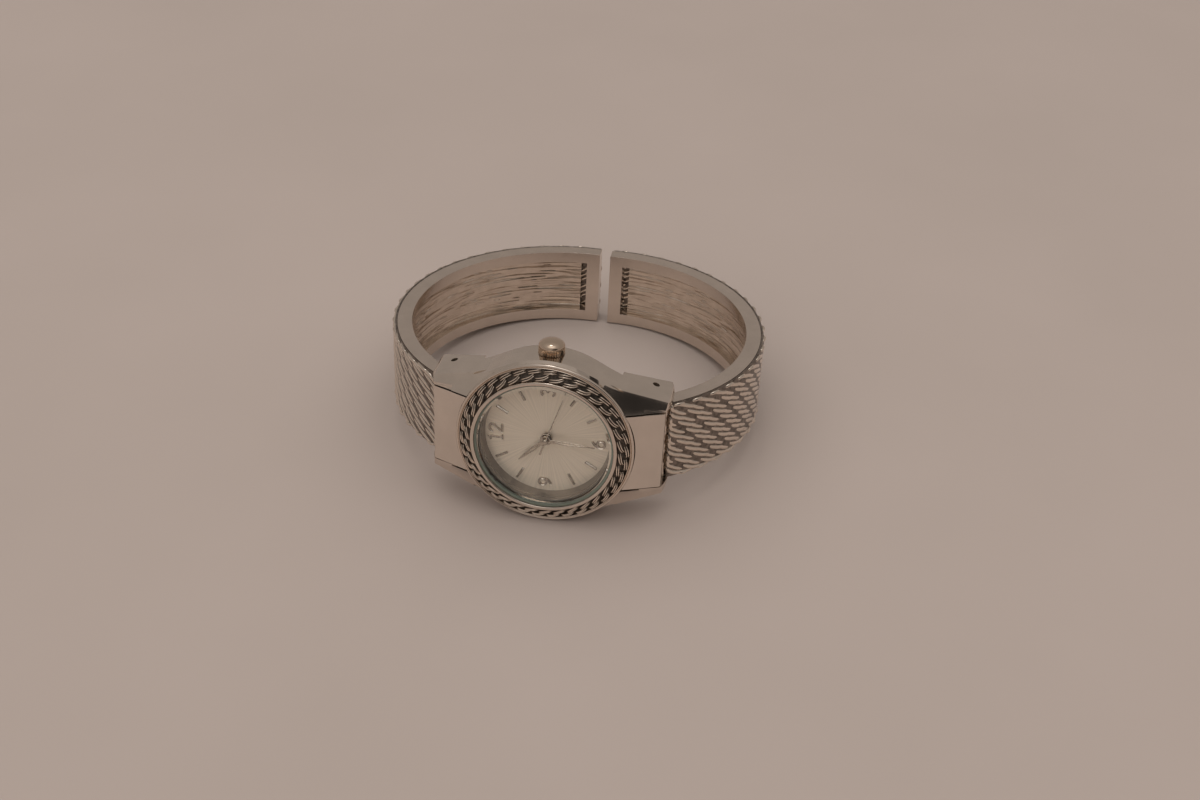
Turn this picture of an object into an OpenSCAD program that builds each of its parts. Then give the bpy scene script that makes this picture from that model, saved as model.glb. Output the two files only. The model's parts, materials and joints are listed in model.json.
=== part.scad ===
// Cuff watch: a round quartz watch on a rigid cuff of two sprung, hinged arms.
// Millimetres. The modules are drawn in the watch's own frame: x to the right, y from the dial
// through the case to the wrist, z up to the crown. at_rest() then lays the watch on its side.

/* [Case] */
// Radius of the round case body
case_r = 13.8; // [12:0.1:18]
// Depth of the case body behind the bezel
case_t = 5.3; // [4.6:0.1:8]
// Radius of the bore that takes dial and movement holder
case_bore_r = 11.8; // [11:0.05:13]
// Radius of the opening in the flange in front of the dial
flange_r = 10.9; // [10.75:0.05:11.4]
// Thickness of the case back
back_t = 0.8; // [0.5:0.05:1.6]
// Radius of the case back
back_r = 12.9; // [12.6:0.05:13.6]

/* [Ears] */
// Angle of an ear's side faces, which run on from the round case
ear_taper = 17.2; // [8:0.1:20]
// Distance from the dial axis to the rounded ear end
ear_x = 19.5; // [19:0.1:22]
// Rounding of the ear end at its side face
ear_corner = 1.2; // [0.4:0.1:1.6]
// Radius of the slightly bulged ear end, seen from the crown
ear_end_r = 9.8; // [6:0.1:20]
// Distance from the dial axis to the notch where an ear's rear begins
notch_x = 11.2; // [10.4:0.1:13]
// Slope of an ear's rear away from the case back, in degrees
ear_fall = 20; // [12:0.5:26]
// Front of the ears, measured from the front of the bezel
ear_front = 1.3; // [0.6:0.1:2.4]
// Radius of the hollow cheek in front of each ear
cheek_r = 4; // [3.6:0.1:6]
// Distance from the dial axis to the cheek's inner end
cheek_x = 12.7; // [12:0.1:14]
// Depth of the cheek behind the plate's front at its inner end
cheek_in = 0.8; // [0.4:0.05:1]
// Depth of the cheek behind the plate's front at its outer end
cheek_out = 0.1; // [0:0.05:0.3]
// Height of the cheek's axis over the arm slot at its inner end
cheek_rise_in = 2.6; // [2:0.1:3]
// Height of the cheek's axis over the arm slot at its outer end
cheek_rise_out = 1.3; // [1:0.1:2]
// Slope of the bevel round the case's rear edge, in degrees
rear_slope = 22; // [10:1:35]
// Radius of the cove that frees the bezel from the ears
cove_r = 1.3; // [0.8:0.05:1.8]

/* [Cover plates] */
// Distance from the dial axis to the outer edge of the cover plate
plate_x = 18.75; // [17:0.05:19.5]
// Slope of the cover plate away from the bezel, in degrees
plate_slope = 22.7; // [10:0.1:30]
// Depth of its front face at the bezel edge behind the bezel's outer edge
plate_drop = 0.5; // [0.2:0.05:1]
// Thickness of the plate at its outer edge
plate_t = 0.9; // [0.5:0.05:1.4]

/* [Bezel] */
// Outer radius of the bezel
bezel_r = 14.5; // [14:0.1:19]
// Depth of the bezel from its inner rim to the case
bezel_h = 3.1; // [2.6:0.1:4.5]
// How far the outer edge lies behind the inner rim
bezel_fall = 1.5; // [0.8:0.05:2]
// Width of the bright inner rim
rim_w = 0.6; // [0.3:0.05:1]
// Width of the stepped outer rim
step_w = 0.7; // [0.4:0.05:1.2]
// Depth of the chain band below the rims
band_depth = 0.7; // [0.3:0.05:1]

/* [Glass and dial] */
// Radius of the glass
glass_r = 11; // [10.5:0.05:12]
// Thickness of the glass
glass_t = 1.4; // [0.8:0.05:2]
// Chamfer on the front edge of the glass
glass_chamfer = 0.35; // [0.1:0.05:0.6]
// How far the glass lies behind the inner rim
glass_sink = 0.2; // [0:0.05:0.5]
// Wall of the glass gasket
gasket_w = 0.3; // [0.2:0.05:0.5]
// Height of the ring between glass ledge and dial
flange_h = 2.35; // [2:0.05:3.2]
// Outer radius of that ring
ring_r = 10.7; // [10.3:0.05:10.85]
// Radius at which that ring meets the dial
ring_dial_r = 10.15; // [9.6:0.05:10.4]
// Radius of the dial
dial_r = 11.6; // [11.2:0.05:11.75]
// Thickness of the dial
dial_t = 0.4; // [0.25:0.05:0.6]
// Radius of the hole in the middle of the dial
dial_hole_r = 0.85; // [0.8:0.01:1.2]
// Distance of the applied batons from the middle
baton_at = 8.5; // [7:0.05:9]
// Length of a baton
baton_len = 1.9; // [1:0.05:2.4]
// Width of a baton
baton_w = 0.36; // [0.2:0.02:0.8]
// Height of the applied batons and numerals above the dial
applied_h = 0.25; // [0.1:0.01:0.35]
// Distance of the numerals from the middle
numeral_at = 8.4; // [7:0.05:8.8]
// Height of a numeral
numeral_size = 2.5; // [1.5:0.05:3]
// Stroke of a numeral
numeral_w = 0.34; // [0.2:0.02:0.6]

/* [Hands] */
// Length of the hour hand
hour_len = 6.3; // [4:0.1:7]
// Length of the minute hand
minute_len = 8; // [6:0.1:9]
// Length of the seconds hand
second_len = 8.6; // [6:0.1:9.5]
// Length of the tail of the seconds hand
second_tail = 2.6; // [1:0.1:4]
// Thickness of a hand
hand_t = 0.15; // [0.1:0.01:0.25]
// Distance from one hand to the next
hand_gap = 0.3; // [0.2:0.01:0.4]
// Distance from the dial to the hour hand
hour_lift = 0.55; // [0.45:0.01:0.8]
// Hour shown at rest
show_hour = 10; // [0:1:11]
// Minute shown at rest
show_minute = 30; // [0:1:59]
// Second shown at rest
show_second = 18; // [0:1:59]

/* [Movement] */
// Length of the movement, from 12 to 6
move_x = 17.8; // [16:0.1:19]
// Width of the movement, from 3 to 9
move_z = 15.4; // [14:0.1:17]
// Radius that cuts the movement's corners
move_r = 10.2; // [9.8:0.05:10.8]
// Thickness of the main plate
main_t = 1.25; // [1.1:0.05:1.8]
// Radius of the battery
battery_r = 3.4; // [3.1:0.05:3.45]
// Thickness of the battery
battery_t = 2.6; // [1.6:0.05:2.7]
// Distance of the battery from the dial axis towards 12
battery_x = 5; // [4.9:0.05:5.2]
// Distance of the battery from the dial axis towards 3
battery_z = 0.9; // [0:0.05:1.2]
// Radius of the coil winding
coil_r = 0.95; // [0.7:0.05:1.1]
// Length of the coil winding
coil_len = 9.6; // [7:0.1:11]
// Distance of the coil from the dial axis towards 9
coil_z = 6; // [5.6:0.05:6.2]
// Side of the coil core's square section
core_w = 0.7; // [0.4:0.05:0.9]
// How far the coil core stands out at each end
core_reach = 1; // [0.95:0.05:1.3]
// Length of a foot of the coil core, along the core
foot_len = 0.9; // [0.6:0.05:1]
// Width of a foot of the coil core
foot_w = 1.8; // [1:0.1:2]
// Thickness of the train bridge
bridge_t = 0.5; // [0.3:0.05:0.8]
// Length of the train bridge, from 12 to 6
bridge_len = 9; // [8:0.1:9.3]
// Width of the train bridge
bridge_w = 8.6; // [8:0.1:8.8]
// Distance of the bridge's middle from the dial axis towards 6
bridge_at_x = 3.4; // [3:0.05:3.6]
// Distance of the bridge's middle from the dial axis towards 9
bridge_at_z = 0.3; // [0:0.05:0.4]
// Length of the corner left out of the bridge
corner_len = 3.1; // [2:0.1:3.5]
// Width of the corner left out of the bridge
corner_w = 1; // [0.6:0.1:1.5]
// Distance of a post's middle from the edges of the bridge
post_in = 0.9; // [0.8:0.05:1.2]
// Room between the battery and the pieces round it
battery_gap = 0.3; // [0.1:0.05:0.4]
// Height of the bridge's posts
post_h = 0.65; // [0.55:0.05:0.8]
// Radius of a post
post_r = 0.7; // [0.5:0.05:1]
// How far the circuit block stays inside the bridge's outline
circuit_inset = 0.4; // [0.2:0.05:0.6]
// Thickness of the circuit block
circuit_t = 0.3; // [0.2:0.05:0.5]
// Thickness of the battery strap
strap_t = 0.15; // [0.1:0.05:0.2]
// Width of the battery strap
strap_w = 1.6; // [1:0.1:2.4]
// Radius of the seconds arbor
arbor_r = 0.26; // [0.2:0.01:0.3]
// Wall of the minute and hour pipes
pipe_wall = 0.18; // [0.15:0.01:0.25]

/* [Crown] */
// Radius of the crown over its flutes
crown_r = 2.08; // [1.8:0.02:2.6]
// Length of the fluted barrel
crown_barrel = 1.65; // [1.4:0.05:2.6]
// Height of the domed top
crown_dome = 1.6; // [0.8:0.05:2]
// Depth by which the dome's top is faced flat
crown_flat = 0.03; // [0.02:0.01:0.1]
// Number of flutes
crown_flutes = 24; // [16:1:36]
// Radius of one flute
flute_r = 0.17; // [0.1:0.01:0.2]
// Gap between case and crown
crown_gap = 0.15; // [0.1:0.05:0.4]
// Depth of the crown axis behind the bezel
crown_depth = 2.3; // [2.2:0.05:2.9]
// Outer radius of the crown tube
tube_r = 1; // [0.85:0.05:1.2]
// Wall of the seal between tube and crown
seal_t = 0.4; // [0.3:0.05:0.5]
// Radius of the stem
stem_r = 0.45; // [0.35:0.01:0.5]
// Inner end of the stem, from the dial axis
stem_end = 4.6; // [4.4:0.1:6]

/* [Hinges] */
// Distance from the dial axis to the hinge pin
hinge_x = 16.5; // [16:0.1:18]
// Distance of the hinge pin inside the middle of the arm frame's thickness
hinge_off = 1.15; // [0:0.05:1.3]
// Radius of the hinge pin
pin_r = 0.55; // [0.4:0.01:0.7]
// Depth of the pin's end below the ear's side face
pin_sink = 0.35; // [0.1:0.05:0.8]
// Radius of the arm's hinge knuckle
knuckle_r = 1.5; // [1.3:0.05:1.7]
// Length of the spring room between the knuckles
spring_room = 4.8; // [3.6:0.1:7]
// Diameter of the spring wire
spring_wire = 0.4; // [0.25:0.01:0.5]
// Turns of the hinge spring
spring_turns = 4; // [3:1:6]

/* [Arms] */
// Width of an arm
arm_w = 14; // [12:0.1:18]
// Thickness of the arm frame
frame_t = 2.5; // [2:0.05:3.4]
// Half the clear width of the cuff, at its widest
cuff_x = 29; // [26:0.1:34]
// Depth of that widest place behind the bezel's front
cuff_y = 31.3; // [28:0.1:36]
// Bend radius of the arm's inner face
bend_r = 26.8; // [24:0.1:29]
// Gap between the two arm tips
tip_gap = 2; // [1:0.1:12]
// Width of the rails along the window
rail_w = 2; // [1.4:0.05:3]
// Width of the bar that closes the window at the tip
tip_bar = 2.4; // [1.6:0.1:4]
// Length of solid arm between the hinge and the window
root_len = 5.8; // [5:0.1:12]
// Depth of the window down to the back of the chain
window_depth = 1.1; // [0.6:0.05:1.6]
// Number of long grooves in the back of the chain
groove_n = 9; // [5:1:12]
// Radius of such a groove
groove_r = 0.3; // [0.15:0.01:0.4]
// How far the grooves' centres lie off the surface
groove_off = 0.12; // [0.05:0.01:0.2]

/* [Chain relief] */
// Height of the arm relief over the frame
relief_h = 0.85; // [0.4:0.05:1.2]
// Lowest relief height, in the gaps
relief_low = 0.14; // [0.08:0.02:0.3]
// Length of one arm link
link_len = 3.2; // [2.4:0.05:5]
// Rows of links across the arm
link_rows = 8; // [5:1:10]
// Distance of the relief from the arm's edge
relief_edge = 0.2; // [0.1:0.05:0.6]
// Length of the plain arm end at the hinge, before the first link
relief_from = 1.45; // [1.2:0.05:4]
// Swing of a link off its row's middle
link_sway = 0.2; // [0:0.02:0.35]
// Number of link pairs round the bezel
bezel_links = 34; // [20:1:44]
// Slant of a bezel link, as a share of its pitch
bezel_slant = 0.9; // [0:0.05:1.2]

/* [Fits] */
// Side clearance of the arm between the ears
arm_gap = 0.06; // [0.03:0.01:0.2]
// Radial clearance of a turning fit
run_gap = 0.04; // [0.02:0.01:0.08]
// Clearance between parts that are laid in
lay_gap = 0.05; // [0.02:0.01:0.1]
// Clearance under the chain reliefs
skin_gap = 0.02; // [0.01:0.01:0.05]

/* [Hidden] */
$fn = 72;
silver = [0.78, 0.76, 0.73];
dark_silver = [0.55, 0.53, 0.51];
pale_gold = [0.83, 0.75, 0.58];
plastic = [0.85, 0.84, 0.8];
brass = [0.78, 0.62, 0.32];
rubber = [0.12, 0.12, 0.12];
glass = [0.75, 0.85, 0.82, 0.4];
copper = [0.72, 0.4, 0.22];

// depths along the dial axis
case_rear = bezel_h + case_t;
glass_y = glass_sink;
ledge_y = glass_y + glass_t;
dial_y = ledge_y + lay_gap + flange_h;
main_y = dial_y + dial_t;
main_rear = main_y + main_t;
bridge_y = main_rear + post_h;
circuit_y = bridge_y + bridge_t;
battery_y = main_y + 0.3;
battery_rear = battery_y + battery_t;
holder_rear = case_rear - 0.3;
crown_y = bezel_h + crown_depth;

// radii round the dial axis
bezel_bore = glass_r + gasket_w;
rim_r = bezel_bore + rim_w;
band_in = rim_r + 0.05;
band_out = bezel_r - step_w;
ledge_r = ring_r + lay_gap;
fall = bezel_fall / (bezel_r - rim_r);

// hands and their pipes
minute_bore = arbor_r + run_gap;
minute_pipe_r = minute_bore + pipe_wall;
hour_bore = minute_pipe_r + run_gap;
hour_pipe_r = hour_bore + pipe_wall;
hour_y = dial_y - hour_lift - hand_t;
minute_y = hour_y - hand_gap - hand_t;
second_y = minute_y - hand_gap - hand_t;
wheel_r = 2.2;
wheel_t = 0.15;
wheel_y = main_y + 0.1;
wheel_pit = 0.35;
cannon_y = main_y + wheel_pit;
cannon_t = 0.2;
second_turn = show_second * 6;
minute_turn = (show_minute + show_second / 60) * 6;
hour_turn = (show_hour + show_minute / 60 + show_second / 3600) * 30;

// ears and arm slot
slot_z = arm_w / 2 + arm_gap;
side_in = 0.05;
function side_z(x) = (case_r - side_in - x * sin(ear_taper)) / cos(ear_taper);
function ear_back(x) = case_rear + tan(ear_fall) * (x - notch_x);
rear_fall = tan(rear_slope);

// cover plate front face, as depth over x
plate_k = tan(plate_slope);
plate_y0 = bezel_fall + plate_drop;
function plate_front(x) = plate_y0 + plate_k * (x - bezel_r);
function plate_at(y) = bezel_r + (y - plate_y0) / plate_k;
ear_mid_y = (plate_front(ear_x) + ear_back(ear_x)) / 2;

// arm curve: one arc round (bend_x, cuff_y), walked from the hinge to the tip
deg = 180 / PI;
bend_x = cuff_x - bend_r;
mid_r = bend_r + frame_t / 2;
out_r = bend_r + frame_t;
hinge_r = mid_r - hinge_off;
hinge_a = -acos((hinge_x - bend_x) / hinge_r);
hinge_y = cuff_y + hinge_r * sin(hinge_a);
tip_a = acos((tip_gap / 2 - bend_x) / bend_r);
tip_y = cuff_y + sqrt(out_r * out_r - pow(tip_gap / 2 - bend_x, 2));
root_a = hinge_a + root_len / bend_r * deg;
bar_a = acos((tip_gap / 2 + tip_bar - bend_x) / bend_r);
window_z = arm_w / 2 - rail_w;

// relief on the outside of the arm, measured along the frame's outer face
relief_a = hinge_a + relief_from / out_r * deg;
relief_tip_a = acos((tip_gap / 2 + 0.15 - bend_x) / (out_r + relief_h));
relief_len = (relief_tip_a - relief_a) / deg * out_r;
link_n = round(relief_len / link_len);
link_pitch = relief_len / link_n;
relief_z = arm_w / 2 - relief_edge;
row_pitch = 2 * relief_z / link_rows;

// rest pose: the bezel edge and the two arm tips touch the floor
rest_tilt = atan2(bezel_r - arm_w / 2, tip_y - bezel_h);
rest_h = bezel_h * sin(rest_tilt) + bezel_r * cos(rest_tilt);
rest_front = -rim_r * sin(rest_tilt);
rest_back = (tip_y + relief_h) * cos(rest_tilt) + relief_z * sin(rest_tilt);
rest_y = -(rest_front + rest_back) / 2;

module at_rest() {
    translate([0, rest_y, rest_h])
        rotate([-rest_tilt, 0, 0])
            children();
}

// turns a profile of radius and depth about the dial axis
module turned() {
    rotate([-90, 0, 0])
        rotate_extrude()
            children();
}

// a flat piece seen from the dial side, from depth y0, t thick
module flat(y0, t) {
    translate([0, y0 + t, 0])
        rotate([90, 0, 0])
            linear_extrude(height = t)
                children();
}

module both_sides() {
    children();
    mirror([1, 0, 0])
        children();
}

module ring_2d(r1, r0) {
    difference() {
        circle(r = r1);
        circle(r = r0);
    }
}

module round_bar_2d(x0, x1, w) {
    translate([x0, -w / 2])
        square([x1 - x0, w]);
    translate([x1, 0])
        circle(r = w / 2);
}

// case

// ears seen from the dial side: their sides run on from the round case almost as tangents;
// slanted side and rounded corner of one ear, the others by mirroring
ear_edge = [
    (case_r - side_in) * [sin(ear_taper), cos(ear_taper)],
    for (k = [0:6])
        let (a = ear_taper + (90 - ear_taper) * k / 6)
        [ear_x - ear_corner, side_z(ear_x - ear_corner) - ear_corner / cos(ear_taper)]
            + ear_corner * [sin(a), cos(a)]
];

module ears_2d() {
    last = len(ear_edge) - 1;
    polygon([
        for (p = ear_edge) p,
        for (k = [0:last]) [ear_edge[last - k][0], -ear_edge[last - k][1]],
        for (p = ear_edge) -p,
        for (k = [0:last]) [-ear_edge[last - k][0], ear_edge[last - k][1]]
    ]);
}

// the same seen from the crown side: the ears fall back like the cover plates
module side_2d() {
    far = 2 * ear_x;
    for (m = [0, 1])
        mirror([m, 0])
            intersection() {
                polygon([
                    [0, ear_front], [plate_at(ear_front), ear_front], [far, plate_front(far)],
                    [far, ear_back(far)], [notch_x, ear_back(notch_x)], [notch_x, case_rear],
                    [0, case_rear]
                ]);
                union() {
                    square([ear_x - ear_end_r, far]);
                    translate([ear_x - ear_end_r, ear_mid_y])
                        circle(r = ear_end_r);
                }
            }
}

// one cheek: a slanted cylinder that hollows the front of an ear
module cheek() {
    inner = [cheek_x, plate_front(cheek_x) - cheek_r + cheek_in, slot_z + cheek_rise_in];
    outer = [plate_x, plate_front(plate_x) - cheek_r + cheek_out, slot_z + cheek_rise_out];
    d = outer - inner;
    translate(inner)
        rotate([0, acos(d[2] / norm(d)), atan2(d[1], d[0])])
            translate([0, 0, -norm(d)])
                cylinder(r = cheek_r, h = 3 * norm(d));
}

module case_middle() {
    color(silver)
        difference() {
            intersection() {
                union() {
                    flat(ear_front, 2 * ear_x)
                        circle(r = case_r);
                    flat(ear_front, 2 * ear_x)
                        ears_2d();
                }
                translate([0, 0, -2 * case_r])
                    linear_extrude(height = 4 * case_r)
                        side_2d();
            }
            // seat of the bezel
            turned()
                square([bezel_r + lay_gap, bezel_h]);
            // slot for the arms and cover plates
            difference() {
                translate([-2 * ear_x, -1, -slot_z])
                    cube([4 * ear_x, 2 * ear_x, 2 * slot_z]);
                rotate([-90, 0, 0])
                    cylinder(r = case_r, h = case_rear);
            }
            // bevel round the case's rear edge, between the ears
            intersection() {
                turned()
                    polygon([
                        [back_r + lay_gap, case_rear + 1], [back_r + lay_gap, case_rear],
                        [2 * case_r, case_rear - rear_fall * (2 * case_r - back_r)],
                        [2 * case_r, case_rear + 1]
                    ]);
                cube([2 * notch_x, 4 * case_r, 4 * case_r], center = true);
            }
            // cheeks and cove
            for (s = [0, 1])
                mirror([0, 0, s])
                    both_sides()
                        cheek();
            turned()
                translate([bezel_r + cove_r / 2, bezel_h - cove_r])
                    circle(r = cove_r);
            // bores for glass ring, dial, movement and case back gasket
            turned()
                square([flange_r, 2 * case_rear]);
            turned()
                translate([0, dial_y])
                    square([case_bore_r, 2 * case_rear]);
            turned()
                translate([case_bore_r + 0.35, case_rear - 0.35])
                    square([0.5, 1]);
            // crown tube and hinge pins
            translate([0, crown_y, 0])
                cylinder(r = tube_r, h = 2 * case_r);
            both_sides()
                translate([hinge_x, hinge_y, -case_r])
                    cylinder(r = pin_r, h = 2 * case_r);
        }
}

module case_back() {
    color(silver)
        turned()
            polygon([
                [0, case_rear], [case_bore_r - 0.7, case_rear], [case_bore_r - 0.7, holder_rear],
                [case_bore_r - 0.1, holder_rear], [case_bore_r - 0.1, case_rear],
                [back_r, case_rear], [back_r, case_rear + back_t / 2],
                [back_r - back_t / 2, case_rear + back_t], [0, case_rear + back_t]
            ]);
}

module case_back_gasket() {
    color(rubber)
        turned()
            translate([case_bore_r + 0.4, case_rear - 0.35])
                square([0.4, 0.35]);
}

// bezel, glass and dial

module bezel_ring() {
    y_in = fall * (band_in - rim_r) + band_depth;
    y_out = fall * (band_out - rim_r) + band_depth;
    s = step_w;
    color(silver)
        turned()
            polygon([
                [bezel_bore, 0.1], [bezel_bore + 0.1, 0], [rim_r - 0.1, 0], [rim_r, 0.12],
                [band_in, y_in], [band_out, y_out],
                [band_out + 0.02, y_out - band_depth - 0.02],
                [band_out + 0.4 * s, y_out - band_depth - 0.02],
                [band_out + 0.44 * s, y_out - band_depth + 0.25],
                [band_out + 0.56 * s, y_out - band_depth + 0.25],
                [band_out + 0.6 * s, bezel_fall - 0.12],
                [bezel_r - 0.12, bezel_fall - 0.12], [bezel_r, bezel_fall],
                [bezel_r, bezel_h], [ledge_r, bezel_h], [ledge_r, ledge_y], [bezel_bore, ledge_y]
            ]);
}

// closed skin over a grid: rows of points across, then two base points per row
function grid_faces(n, m, loop) =
    let (w = m + 3, rows = loop ? n : n - 1)
    concat(
        [for (i = [0:rows - 1], j = [0:m - 1])
            let (a = i * w + j, b = ((i + 1) % n) * w + j)
            [a, a + 1, b + 1]],
        [for (i = [0:rows - 1], j = [0:m - 1])
            let (a = i * w + j, b = ((i + 1) % n) * w + j)
            [a, b + 1, b]],
        [for (i = [0:rows - 1], k = [0:2])
            let (
                a = i * w,
                b = ((i + 1) % n) * w,
                p = [m, m + 1, m + 2][k],
                q = [m + 1, m + 2, 0][k]
            )
            each [[a + p, a + q, b + q], [a + p, b + q, b + p]]],
        loop ? [] : [for (j = [0:m]) [m + 2, j + 1, j]],
        loop ? [] : let (e = (n - 1) * w) [for (j = [0:m]) [e + m + 2, e + j, e + j + 1]]
    );

// heights of a bezel link, by quarter of its pitch and by place across the band
bezel_high = [
    [0.15, 0.5, 0.35, 0.85, 0.2],
    [0.15, 1, 0.3, 0.2, 0.2],
    [0.2, 0.85, 0.35, 0.5, 0.15],
    [0.2, 0.2, 0.3, 1, 0.15]
];

module bezel_chain() {
    n = bezel_links * 4;
    m = 4;
    r0 = band_in + skin_gap;
    r1 = band_out - skin_gap;
    pts = [for (i = [0:n - 1])
        let (
            outer = [for (j = [0:m])
                let (
                    r = r0 + (r1 - r0) * j / m,
                    y = fall * (r - rim_r) + band_depth - band_depth * bezel_high[i % 4][j],
                    a = 360 / n * (i + 4 * bezel_slant * (j / m - 0.5))
                )
                [r * cos(a), y, r * sin(a)]],
            base = [for (j = [1, 0])
                let (
                    r = j == 1 ? r1 : r0,
                    y = fall * (r - rim_r) + band_depth - skin_gap,
                    a = 360 / n * (i + 4 * bezel_slant * (j - 0.5))
                )
                [r * cos(a), y, r * sin(a)]]
        )
        each concat(outer, base)];
    color(silver)
        polyhedron(points = pts, faces = grid_faces(n, m, true));
}

module crystal() {
    color(glass)
        turned()
            polygon([
                [0, glass_y], [glass_r - glass_chamfer, glass_y], [glass_r, glass_y + glass_chamfer],
                [glass_r, ledge_y], [0, ledge_y]
            ]);
}

module crystal_gasket() {
    color(plastic)
        turned()
            translate([glass_r, glass_y + glass_chamfer])
                square([gasket_w, glass_t - glass_chamfer]);
}

module dial_ring() {
    color(dark_silver)
        turned()
            polygon([
                [ring_r, ledge_y + lay_gap], [ring_r - 0.2, ledge_y + lay_gap],
                [ring_dial_r, dial_y], [ring_r, dial_y]
            ]);
}

module dial() {
    color(silver)
        flat(dial_y, dial_t)
            ring_2d(dial_r, dial_hole_r);
}

// places a drawing at an hour, upright for someone who looks at 12 as up
module at_hour(h, d) {
    rotate(180 - 30 * h)
        translate([d, 0])
            rotate(30 * h - 90)
                children();
}

module dial_batons() {
    color(silver)
        flat(dial_y - applied_h, applied_h)
            for (h = [1, 2, 4, 5, 7, 8, 10, 11])
                rotate(180 - 30 * h)
                    translate([baton_at, 0])
                        square([baton_len, baton_w], center = true);
}

// strokes of the numerals, drawn with arcs and bars
module arc_2d(r, a0, a1) {
    intersection() {
        ring_2d(r + numeral_w / 2, r - numeral_w / 2);
        polygon([
            [0, 0],
            for (k = [0:6])
                let (a = a0 + (a1 - a0) * k / 6)
                [2 * r * cos(a), 2 * r * sin(a)]
        ]);
    }
}

module bar_2d(w, h) {
    square([w, h], center = true);
}

module one_2d() {
    bar_2d(numeral_w, numeral_size);
    translate([-numeral_w, numeral_size / 2 - numeral_w])
        rotate(35)
            bar_2d(2 * numeral_w, 0.7 * numeral_w);
    translate([0, (numeral_w * 0.6 - numeral_size) / 2])
        bar_2d(3 * numeral_w, 0.6 * numeral_w);
}

module two_2d() {
    r = numeral_size * 0.26;
    translate([0, numeral_size / 2 - r - numeral_w / 2])
        arc_2d(r, -30, 180);
    translate([0, -numeral_w / 2])
        rotate(52)
            bar_2d(numeral_size * 0.62, numeral_w * 0.9);
    translate([0, (numeral_w - numeral_size) / 2])
        bar_2d(2.4 * r, numeral_w);
}

module three_2d() {
    r = (numeral_size - numeral_w) / 4;
    translate([0, r])
        arc_2d(r, -90, 160);
    translate([0, -r])
        arc_2d(r, -160, 90);
}

module nine_2d() {
    r = numeral_size * 0.25;
    translate([0, numeral_size / 2 - r - numeral_w / 2])
        ring_2d(r + numeral_w / 2, r - numeral_w / 2);
    translate([-numeral_size * 0.32, numeral_size / 2 - r - numeral_w / 2])
        arc_2d(numeral_size * 0.57, -75, 0);
}

module dial_numerals() {
    color(silver)
        flat(dial_y - applied_h, applied_h) {
            at_hour(12, numeral_at) {
                translate([-0.36 * numeral_size, 0])
                    one_2d();
                translate([0.3 * numeral_size, 0])
                    two_2d();
            }
            at_hour(3, numeral_at)
                three_2d();
            at_hour(6, numeral_at)
                rotate(180)
                    nine_2d();
            at_hour(9, numeral_at)
                nine_2d();
        }
}

// movement

module movement_2d(grow) {
    intersection() {
        square([move_x + 2 * grow, move_z + 2 * grow], center = true);
        circle(r = move_r + grow);
    }
}

module stem_path(r) {
    translate([0, crown_y, stem_end - 0.3])
        cylinder(r = r, h = case_r);
}

module movement_holder() {
    color(plastic)
        difference() {
            flat(main_y, holder_rear - main_y)
                difference() {
                    circle(r = case_bore_r - lay_gap);
                    movement_2d(lay_gap);
                }
            translate([0, crown_y, 0])
                cylinder(r = tube_r + 0.2, h = case_r);
        }
}

module main_plate() {
    color(brass)
        difference() {
            flat(main_y, main_t)
                movement_2d(0);
            turned()
                square([wheel_r + 0.1, main_y + wheel_pit]);
            turned()
                square([1.1, cannon_y + cannon_t + 0.1]);
            turned()
                square([arbor_r + run_gap, 2 * case_rear]);
            // battery pocket and stem channel, open to the back
            flat(battery_y, case_rear)
                translate([-battery_x, battery_z])
                    circle(r = battery_r + lay_gap);
            stem_path(stem_r + run_gap);
            translate([-stem_r - run_gap, crown_y, stem_end - 0.3])
                cube([2 * (stem_r + run_gap), 2, case_r]);
        }
}

bridge_right = bridge_at_x + bridge_len / 2;
bridge_top = bridge_w / 2 - bridge_at_z;
bridge_low = -bridge_w / 2 - bridge_at_z;
bridge_posts = [
    [bridge_right - post_in, bridge_top - post_in],
    [bridge_right - post_in, bridge_low + post_in],
    [bridge_right - bridge_len * 0.7, bridge_low + post_in]
];

module bridge_2d(inset) {
    difference() {
        translate([bridge_at_x, -bridge_at_z])
            square([bridge_len - 2 * inset, bridge_w - 2 * inset], center = true);
        translate([-battery_x, battery_z])
            circle(r = battery_r + battery_gap);
        translate([bridge_right - bridge_len, bridge_top - corner_w])
            square([corner_len, 2 * corner_w]);
    }
}

module train_bridge() {
    color(brass)
        difference() {
            union() {
                flat(bridge_y, bridge_t)
                    bridge_2d(0);
                flat(main_rear, post_h)
                    for (p = bridge_posts)
                        translate(p)
                            circle(r = post_r);
            }
            turned()
                square([arbor_r + run_gap, 2 * case_rear]);
        }
}

module circuit_block() {
    color([0.15, 0.35, 0.2])
        flat(circuit_y, circuit_t)
            bridge_2d(circuit_inset);
}

module coil_core() {
    x = coil_len / 2;
    color(dark_silver) {
        translate([-x - core_reach, main_rear + coil_r - core_w / 2, -coil_z - core_w / 2])
            cube([2 * (x + core_reach), core_w, core_w]);
        for (s = [-1, 1])
            translate([s * (x + core_reach / 2) - foot_len / 2, main_rear, -coil_z - foot_w / 2])
                cube([foot_len, coil_r - core_w / 2, foot_w]);
    }
}

module coil() {
    color(copper)
        difference() {
            translate([-coil_len / 2, main_rear + coil_r, -coil_z])
                rotate([0, 90, 0])
                    cylinder(r = coil_r, h = coil_len);
            translate([-coil_len, main_rear + coil_r - core_w / 2, -coil_z - core_w / 2])
                cube([2 * coil_len, core_w, core_w]);
        }
}

module battery() {
    color(silver)
        translate([-battery_x, 0, battery_z])
            turned()
                polygon([
                    [0, battery_y], [battery_r - 0.5, battery_y], [battery_r - 0.5, battery_y + 0.5],
                    [battery_r, battery_y + 0.5], [battery_r, battery_rear], [0, battery_rear]
                ]);
}

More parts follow.
